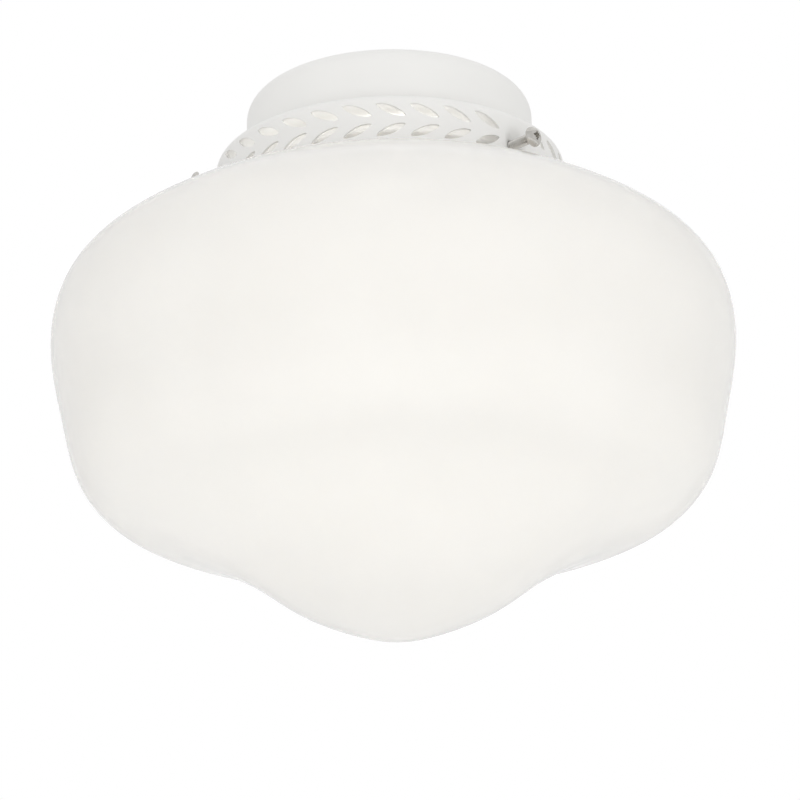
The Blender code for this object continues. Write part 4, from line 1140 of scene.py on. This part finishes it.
def make_rivets():
    low, top, head = span("line_rivet")
    dome = [(head * reach, top - RIVET_HEAD_HEIGHT * drop) for reach, drop in RIVET_DOME_SHARES]
    dome.append((RIVET_RADIUS, top - RIVET_HEAD_HEIGHT))
    line_rivet = smooth(turned(dome + [(RIVET_RADIUS, low), (0.0, low)], SMALL_SEGMENTS))
    finish_piece(line_rivet, "domed_line_rivet", "brass", "line_rivet")
    foot = span("neutral_rivet")[0]
    lower = [(radius, foot + (top - height)) for radius, height in reversed(dome)]
    neutral_rivet = smooth(turned(dome + lower, SMALL_SEGMENTS))
    neutral_rivet.location.y = NEUTRAL_RIVET_REACH
    finish_piece(settle(neutral_rivet), "domed_neutral_rivet", "brass", "neutral_rivet")


# Leads and connectors

def smooth_route(points, steps):
    """A Catmull-Rom curve through the points."""
    points = [Vector(point) for point in points]
    points = [2 * points[0] - points[1]] + points + [2 * points[-1] - points[-2]]
    path = []
    for before, start, end, after in zip(points, points[1:], points[2:], points[3:]):
        for index in range(steps):
            t = index / steps
            path.append(start * (2 - 5 * t**2 + 3 * t**3) / 2
                        + end * (t + 4 * t**2 - 3 * t**3) / 2
                        + before * (-t + 2 * t**2 - t**3) / 2
                        + after * (-t**2 + t**3) / 2)
    path.append(points[-2])
    return [tuple(point) for point in path]


def make_leads():
    """Insulated wires along their routes."""
    for colour, (side, starts) in LEADS.items():
        route = [(0.0, y, z) for y, z in zip(starts, ROUTE_HEIGHTS)]
        route += [(side * x, side * y, z) for x, y, z in ROUTE_REST]
        pick(drawn_path(smooth_route(route, LEAD_STEPS)))
        bpy.ops.object.convert(target='CURVE')
        wire_curve = bpy.context.object
        wire_curve.data.bevel_depth = LEAD_RADIUS
        wire_curve.data.bevel_resolution = LEAD_ROUNDNESS
        wire_curve.data.use_fill_caps = True
        pick(wire_curve)
        bpy.ops.object.convert(target='MESH')
        lead = smooth(clean(bpy.context.object))
        finish_piece(lead, colour + "_wire", colour + "_plastic", colour + "_lead")


def connector_model():
    """A twist-on connector along Z, with its mouth at the origin and grip flutes round its cone."""
    tip = CONNECTOR_TIP_RADIUS * CONNECTOR_END_SHARE
    wide = CONNECTOR_MOUTH_RADIUS
    rim = CONNECTOR_RIM
    bore = LEAD_RADIUS + SEAT_GAP
    outline = [(0.0, CONNECTOR_LENGTH)]
    outline += arc((CONNECTOR_TIP_RADIUS - tip, CONNECTOR_LENGTH - tip), tip, 90, 10, 4)
    outline += [(wide - rim * CONE_FOOT_SHARES[0], rim * CONE_FOOT_SHARES[1])]
    outline += arc((wide - rim / 3, rim / 3), rim / 3, 30, -90, 4)
    outline += [(wide - CONNECTOR_WALL, 0.0), (bore, CONNECTOR_FUNNEL_DEPTH),
                (bore, CONNECTOR_BORE_DEPTH), (0.0, CONNECTOR_BORE_DEPTH)]
    cone = turned(outline, CONNECTOR_SEGMENTS)
    lean = math.atan2(wide - CONNECTOR_TIP_RADIUS, CONNECTOR_LENGTH)
    for index in range(CONNECTOR_FLUTES):
        flute = rod(CONNECTOR_FLUTE_RADIUS, rim * FLUTE_START_SHARE,
                    CONNECTOR_LENGTH + OVERRUN, FLUTE_SEGMENTS)
        flute.data.transform(Matrix.Rotation(-lean, 4, 'Y'))
        flute.data.transform(Matrix.Translation((wide, 0.0, 0.0)))
        flute.data.transform(Matrix.Rotation(math.tau * index / CONNECTOR_FLUTES, 4, 'Z'))
        cut(cone, flute)
    return smooth(cone, EDGED_SHADING)


def make_connectors():
    model = connector_model()
    x, y, z = CONNECTOR_PLACE
    for colour, (side, _) in LEADS.items():
        mouth = Matrix.Translation((side * x, side * y, z))
        place = mouth @ Matrix.Rotation(side * math.pi / 2, 4, 'Y')
        name = colour + "_connector"
        finish_piece(copy_of(model, place), "fluted_" + name, colour + "_plastic", name)
    drop(model)


# Lamp

def make_lamp_cap():
    low, top, flare = span("lamp_cap")
    radius = CAP_RADIUS
    metal = CAP_METAL
    shoulder = top - CAP_SHOULDER
    bevel = CAP_SHOULDER / 2
    centre = (radius - bevel, shoulder)
    outline = [(CAP_EYE_RADIUS, top - metal), (CAP_EYE_RADIUS, top), (radius - bevel, top)]
    outline += arc(centre, bevel, 80, 0, 6)
    outline += wall_points(radius, shoulder, low + 2 * metal, CAP_ROWS)
    outline += [(radius, low + 3 * metal), (flare, low), (flare - metal, low),
                (radius - metal, low + 3 * metal)]
    outline += wall_points(radius - metal, low + 4 * metal, shoulder, CAP_ROWS)
    outline += arc(centre, bevel - metal, 0, 80, 6)
    outline += [(radius - bevel, top - metal)]
    cap = turned(outline + [outline[0]], SHELL_SEGMENTS)
    wave_thread(cap, low + CAP_PLAIN_END, shoulder, LAMP_THREAD_PITCH, CAP_THREAD_DEPTH)
    finish_piece(smooth(cap, THREAD_SHADING), "lamp_thread_cap", "aluminium", "lamp_cap", "lamp")


def make_lamp_end():
    """The black glass round the lamp's contact, and the contact's solder dome with its wire."""
    low, top, wide = span("lamp_insulator")
    eye = INSULATOR_EYE_RADIUS
    outline = [(eye, low), (eye, top)]
    outline += [(wide * reach, top - (top - low) * drop) for reach, drop in INSULATOR_SHARES]
    foot, edge = INSULATOR_FOOT_SHARES
    outline += [(wide, low + (top - low) * edge), (wide * foot, low)]
    insulator = smooth(turned(outline + [outline[0]], SLEEVE_SEGMENTS))
    finish_piece(insulator, "black_glass_insulator", "black_glass", "lamp_insulator", "lamp")
    low, top, wide = span("lamp_contact")
    outline = [(wide * reach, top - drop) for reach, drop in SOLDER_DOME]
    outline += [(SOLDER_STEM_RADIUS, outline[-1][1]), (SOLDER_STEM_RADIUS, low), (0.0, low)]
    solder = smooth(turned(outline, HARDWARE_SEGMENTS))
    finish_piece(solder, "soldered_contact", "zinc", "lamp_contact", "lamp")


def make_lamp_glass():
    """The pear-shaped glass of the lamp, whose neck ends inside the cap."""
    pole, top, widest = span("lamp_envelope")
    cap_bottom = span("lamp_cap")[0]
    body = [(LAMP_NECK_RADIUS, (top + cap_bottom) / 2), (LAMP_NECK_RADIUS, cap_bottom)]
    for radius_share, height_share in LAMP_OUTLINE_SHARES:
        body.append((LAMP_RADIUS * radius_share, cap_bottom - (cap_bottom - pole) * height_share))
    body.append((0.0, pole))
    lead_out = (-body[-2][0], body[-2][1])
    curve = fair_curve([(LAMP_NECK_RADIUS, top)] + body + [lead_out], LAMP_STEPS)
    reach = max(radius for radius, _ in curve)
    outer = [(min(radius, radius * widest / reach), height) for radius, height in curve]
    inner = offset_outline(outer, LAMP_GLASS_WALL)
    outer[-1] = (0.0, outer[-1][1])
    inner[-1] = (0.0, outer[-1][1] + LAMP_GLASS_WALL)
    outline = list(reversed(inner)) + [(LAMP_NECK_RADIUS - LAMP_GLASS_WALL / 2, top)] + outer
    glass = smooth(turned(outline, HOLDER_SEGMENTS), BLOWN_SHADING)
    finish_piece(glass, "frosted_lamp_glass", "frosted_glass", "lamp_envelope", "lamp")


make_pan()
make_skirt()
make_globe()
make_globe_screws()
make_bolts()
make_stem()
for nut_node in ("fan_hex_nut", "pan_hex_nut"):
    make_nut(nut_node)
for washer_node in ("fan_lock_washer", "pan_lock_washer"):
    make_washer(washer_node)
make_crossbar()
make_bushing()
make_lampholder()
make_screw_shell()
make_centre_contact()
make_rivets()
make_leads()
make_connectors()
make_lamp_cap()
make_lamp_end()
make_lamp_glass()


# Camera

FRAME_PIXELS = 800
FOCAL_PIXELS = 3500
AIM_PIXEL_X = 393.5
AIM_PIXEL_Y = 345.0
AIM_POINT = Vector((0.0, 0.0, -0.0886))
VIEW_DISTANCE = 1.1725
VIEW_ELEVATION = math.radians(21.0)
VIEW_ROLL = math.radians(1.1)
SENSOR_WIDTH = 36.0


def make_camera():
    """A camera below the object that looks up at it, rolled a little, as in the photo."""
    forward = Vector((0.0, math.cos(VIEW_ELEVATION), math.sin(VIEW_ELEVATION)))
    level = Vector((1.0, 0.0, 0.0))
    upright = level.cross(forward)
    right = level * math.cos(VIEW_ROLL) - upright * math.sin(VIEW_ROLL)
    up = level * math.sin(VIEW_ROLL) + upright * math.cos(VIEW_ROLL)
    middle = FRAME_PIXELS / 2
    aim = forward + right * ((middle - AIM_PIXEL_X) / FOCAL_PIXELS)
    aim -= up * ((middle - AIM_PIXEL_Y) / FOCAL_PIXELS)
    back = -aim.normalized()
    right = up.cross(back).normalized()
    up = back.cross(right)
    data = bpy.data.cameras.new("photo_view")
    data.sensor_width = SENSOR_WIDTH
    data.lens = SENSOR_WIDTH * FOCAL_PIXELS / FRAME_PIXELS
    camera = bpy.data.objects.new("photo_view", data)
    camera.matrix_world = Matrix((right, up, back)).transposed().to_4x4()
    camera.location = AIM_POINT - forward * VIEW_DISTANCE
    bpy.context.scene.collection.objects.link(camera)
    bpy.context.scene.camera = camera


# Studio

WHITE = (1.0, 1.0, 1.0, 1.0)
FLOOR_DEPTH = 2.3
FLOOR_SIZE = 60.0
FLOOR_COLOUR = (0.90, 0.90, 0.89, 1.0)
FLOOR_ROUGHNESS = 0.9
AMBIENT_FRONT = 0.90
AMBIENT_BEHIND = 0.74
FLAG_SEGMENTS = 96
FLAG_RADIUS = 3.0
FLAG_LOW = -1.2
FLAG_HIGH = 4.2
FLAG_FADE = 1.1
FLAG_COLOUR = (0.82, 0.82, 0.82, 1.0)

# Soft panel before the object, which at level 1 would show a colour as it is written
PANEL_DISTANCE = 2.2
PANEL_AZIMUTH = math.radians(6.0)
PANEL_ELEVATION = math.radians(-36.0)
PANEL_SIZE = 1.8
PANEL_LEVEL = 0.31

# Soft fill inside the globe, and inside the skirt: a disk that lights its plate from below, and
# panels in front of its wall, six between each pair of screws, that light the globe's neck
GLOBE_FILL_PLACE = Vector((0.0, 0.0, -0.095))
GLOBE_FILL_RADIUS = 0.045
GLOBE_FILL_POWER = 0.50
PLATE_FILL_LEVEL = 0.50
PLATE_FILL_DROP = 0.0050
PLATE_FILL_RADIUS = 0.0572
NECK_FILL_LEVEL = 0.70
NECK_FILL_STEPS = (15.0, 33.0, 51.0, 69.0, 87.0, 105.0)
NECK_FILL_RADIUS = 0.0563
NECK_FILL_WIDTH = 0.0172
NECK_FILL_HEIGHT = 0.011


def show_white(tree, plain, kind, sink):
    """Shows white to camera, glossy and transmission rays, and a plain shader to all others."""
    rays = add_node(tree, 'LightPath').outputs
    first = add_node(tree, 'Math', {0: rays["Is Camera Ray"], 1: rays["Is Glossy Ray"]},
                     operation='MAXIMUM')
    seen = add_node(tree, 'Math', {0: first.outputs[0], 1: rays["Is Transmission Ray"]},
                    operation='MAXIMUM')
    white = add_node(tree, kind, {"Color": WHITE, "Strength": 1.0})
    mix = add_node(tree, 'MixShader', {"Fac": seen.outputs[0], 1: plain.outputs[0],
                                       2: white.outputs[0]})
    wire(tree, tree.nodes[sink], {"Surface": mix.outputs["Shader"]})


def make_world():
    """Even light that is a little stronger from the front."""
    world = bpy.data.worlds.new("white_studio")
    bpy.context.scene.world = world
    world.use_nodes = True
    tree = world.node_tree
    direction = add_node(tree, 'TexCoord').outputs["Generated"]
    parts = add_node(tree, 'SeparateXYZ', {"Vector": direction})
    fade = add_node(tree, 'MapRange', {"From Min": -1.0, "To Min": AMBIENT_FRONT,
                                       "To Max": AMBIENT_BEHIND, "Value": parts.outputs["Y"]})
    ambient = tree.nodes["Background"]
    wire(tree, ambient, {"Color": WHITE, "Strength": fade.outputs["Result"]})
    show_white(tree, ambient, 'Background', "World Output")


def make_floor():
    start_new()
    bpy.ops.mesh.primitive_plane_add(size=FLOOR_SIZE, location=(0.0, 0.0, -FLOOR_DEPTH))
    floor = bpy.context.object
    floor.name = "studio_floor"
    material, tree = new_material("studio_floor")
    paint = tree.nodes["Principled BSDF"]
    wire(tree, paint, {"Base Color": FLOOR_COLOUR, "Roughness": FLOOR_ROUGHNESS})
    show_white(tree, paint, 'Emission', "Material Output")
    floor.data.materials.append(material)


def make_flag():
    """A dark band that hangs round the set: glossy edges show it, and nothing else sees it."""
    start_new()
    bpy.ops.mesh.primitive_cylinder_add(vertices=FLAG_SEGMENTS, radius=FLAG_RADIUS,
                                        depth=FLAG_HIGH - FLAG_LOW, end_fill_type='NOTHING',
                                        location=(0.0, 0.0, (FLAG_LOW + FLAG_HIGH) / 2))
    flag = settle(bpy.context.object)
    flag.name = "studio_flag"
    material, tree = new_material("studio_flag")
    place = add_node(tree, 'TexCoord').outputs["Object"]
    height = add_node(tree, 'SeparateXYZ', {"Vector": place}).outputs["Z"]
    fades = []
    for start, end in ((FLAG_LOW, FLAG_LOW + FLAG_FADE), (FLAG_HIGH, FLAG_HIGH - 2 * FLAG_FADE)):
        fade = add_node(tree, 'MapRange', {"From Min": start, "From Max": end, "Value": height},
                        interpolation_type='SMOOTHSTEP')
        fades.append(fade.outputs["Result"])
    density = add_node(tree, 'Math', {0: fades[0], 1: fades[1]}, operation='MULTIPLY')
    clear = add_node(tree, 'BsdfTransparent')
    cloth = add_node(tree, 'Emission', {"Color": FLAG_COLOUR})
    mix = add_node(tree, 'MixShader', {"Fac": density.outputs[0], 1: clear.outputs["BSDF"],
                                       2: cloth.outputs["Emission"]})
    wire(tree, tree.nodes["Material Output"], {"Surface": mix.outputs["Shader"]})
    flag.data.materials.append(material)
    flag.visible_camera = False
    flag.visible_diffuse = False
    flag.visible_transmission = False
    flag.visible_shadow = False


def add_light(name, kind, power, **settings):
    """A light that is unseen by itself, at the origin."""
    data = bpy.data.lights.new(name, kind)
    data.energy = power
    for key, value in settings.items():
        setattr(data, key, value)
    light = bpy.data.objects.new(name, data)
    light.visible_glossy = False
    light.visible_camera = False
    bpy.context.scene.collection.objects.link(light)
    return light


def make_panel():
    """A large soft panel that faces the object from below."""
    level = math.cos(PANEL_ELEVATION)
    direction = Vector((math.sin(PANEL_AZIMUTH) * level, -math.cos(PANEL_AZIMUTH) * level,
                        math.sin(PANEL_ELEVATION)))
    panel = add_light("front_panel", 'AREA', PANEL_LEVEL * (math.pi * PANEL_DISTANCE) ** 2,
                      shape='SQUARE', size=PANEL_SIZE)
    panel.location = AIM_POINT + direction * PANEL_DISTANCE
    panel.rotation_euler = (-direction).to_track_quat('-Z', 'Y').to_euler()


def make_fills():
    """The light that the translucent glass and the white paint gather inside a lit room."""
    fill = add_light("globe_fill", 'POINT', GLOBE_FILL_POWER, shadow_soft_size=GLOBE_FILL_RADIUS)
    fill.location = GLOBE_FILL_PLACE
    fill = add_light("plate_fill", 'AREA', PLATE_FILL_LEVEL * (math.pi * PLATE_FILL_RADIUS) ** 2,
                     shape='DISK', size=2 * PLATE_FILL_RADIUS)
    fill.location = (0.0, 0.0, SKIRT_TOP - PLATE_FILL_DROP)
    fill.rotation_euler.x = math.pi
    for first in screw_azimuths():
        for step in NECK_FILL_STEPS:
            fill = add_light("neck_fill", 'AREA',
                             NECK_FILL_LEVEL * math.pi * NECK_FILL_WIDTH * NECK_FILL_HEIGHT,
                             shape='RECTANGLE', size=NECK_FILL_WIDTH, size_y=NECK_FILL_HEIGHT)
            fill.matrix_world = (radial_frame(first + math.radians(step), SCREW_Z)
                                 @ Matrix.Translation((0.0, 0.0, NECK_FILL_RADIUS)))


make_camera()
make_world()
make_floor()
make_flag()
make_panel()
make_fills()
bpy.context.scene.view_settings.view_transform = 'Standard'
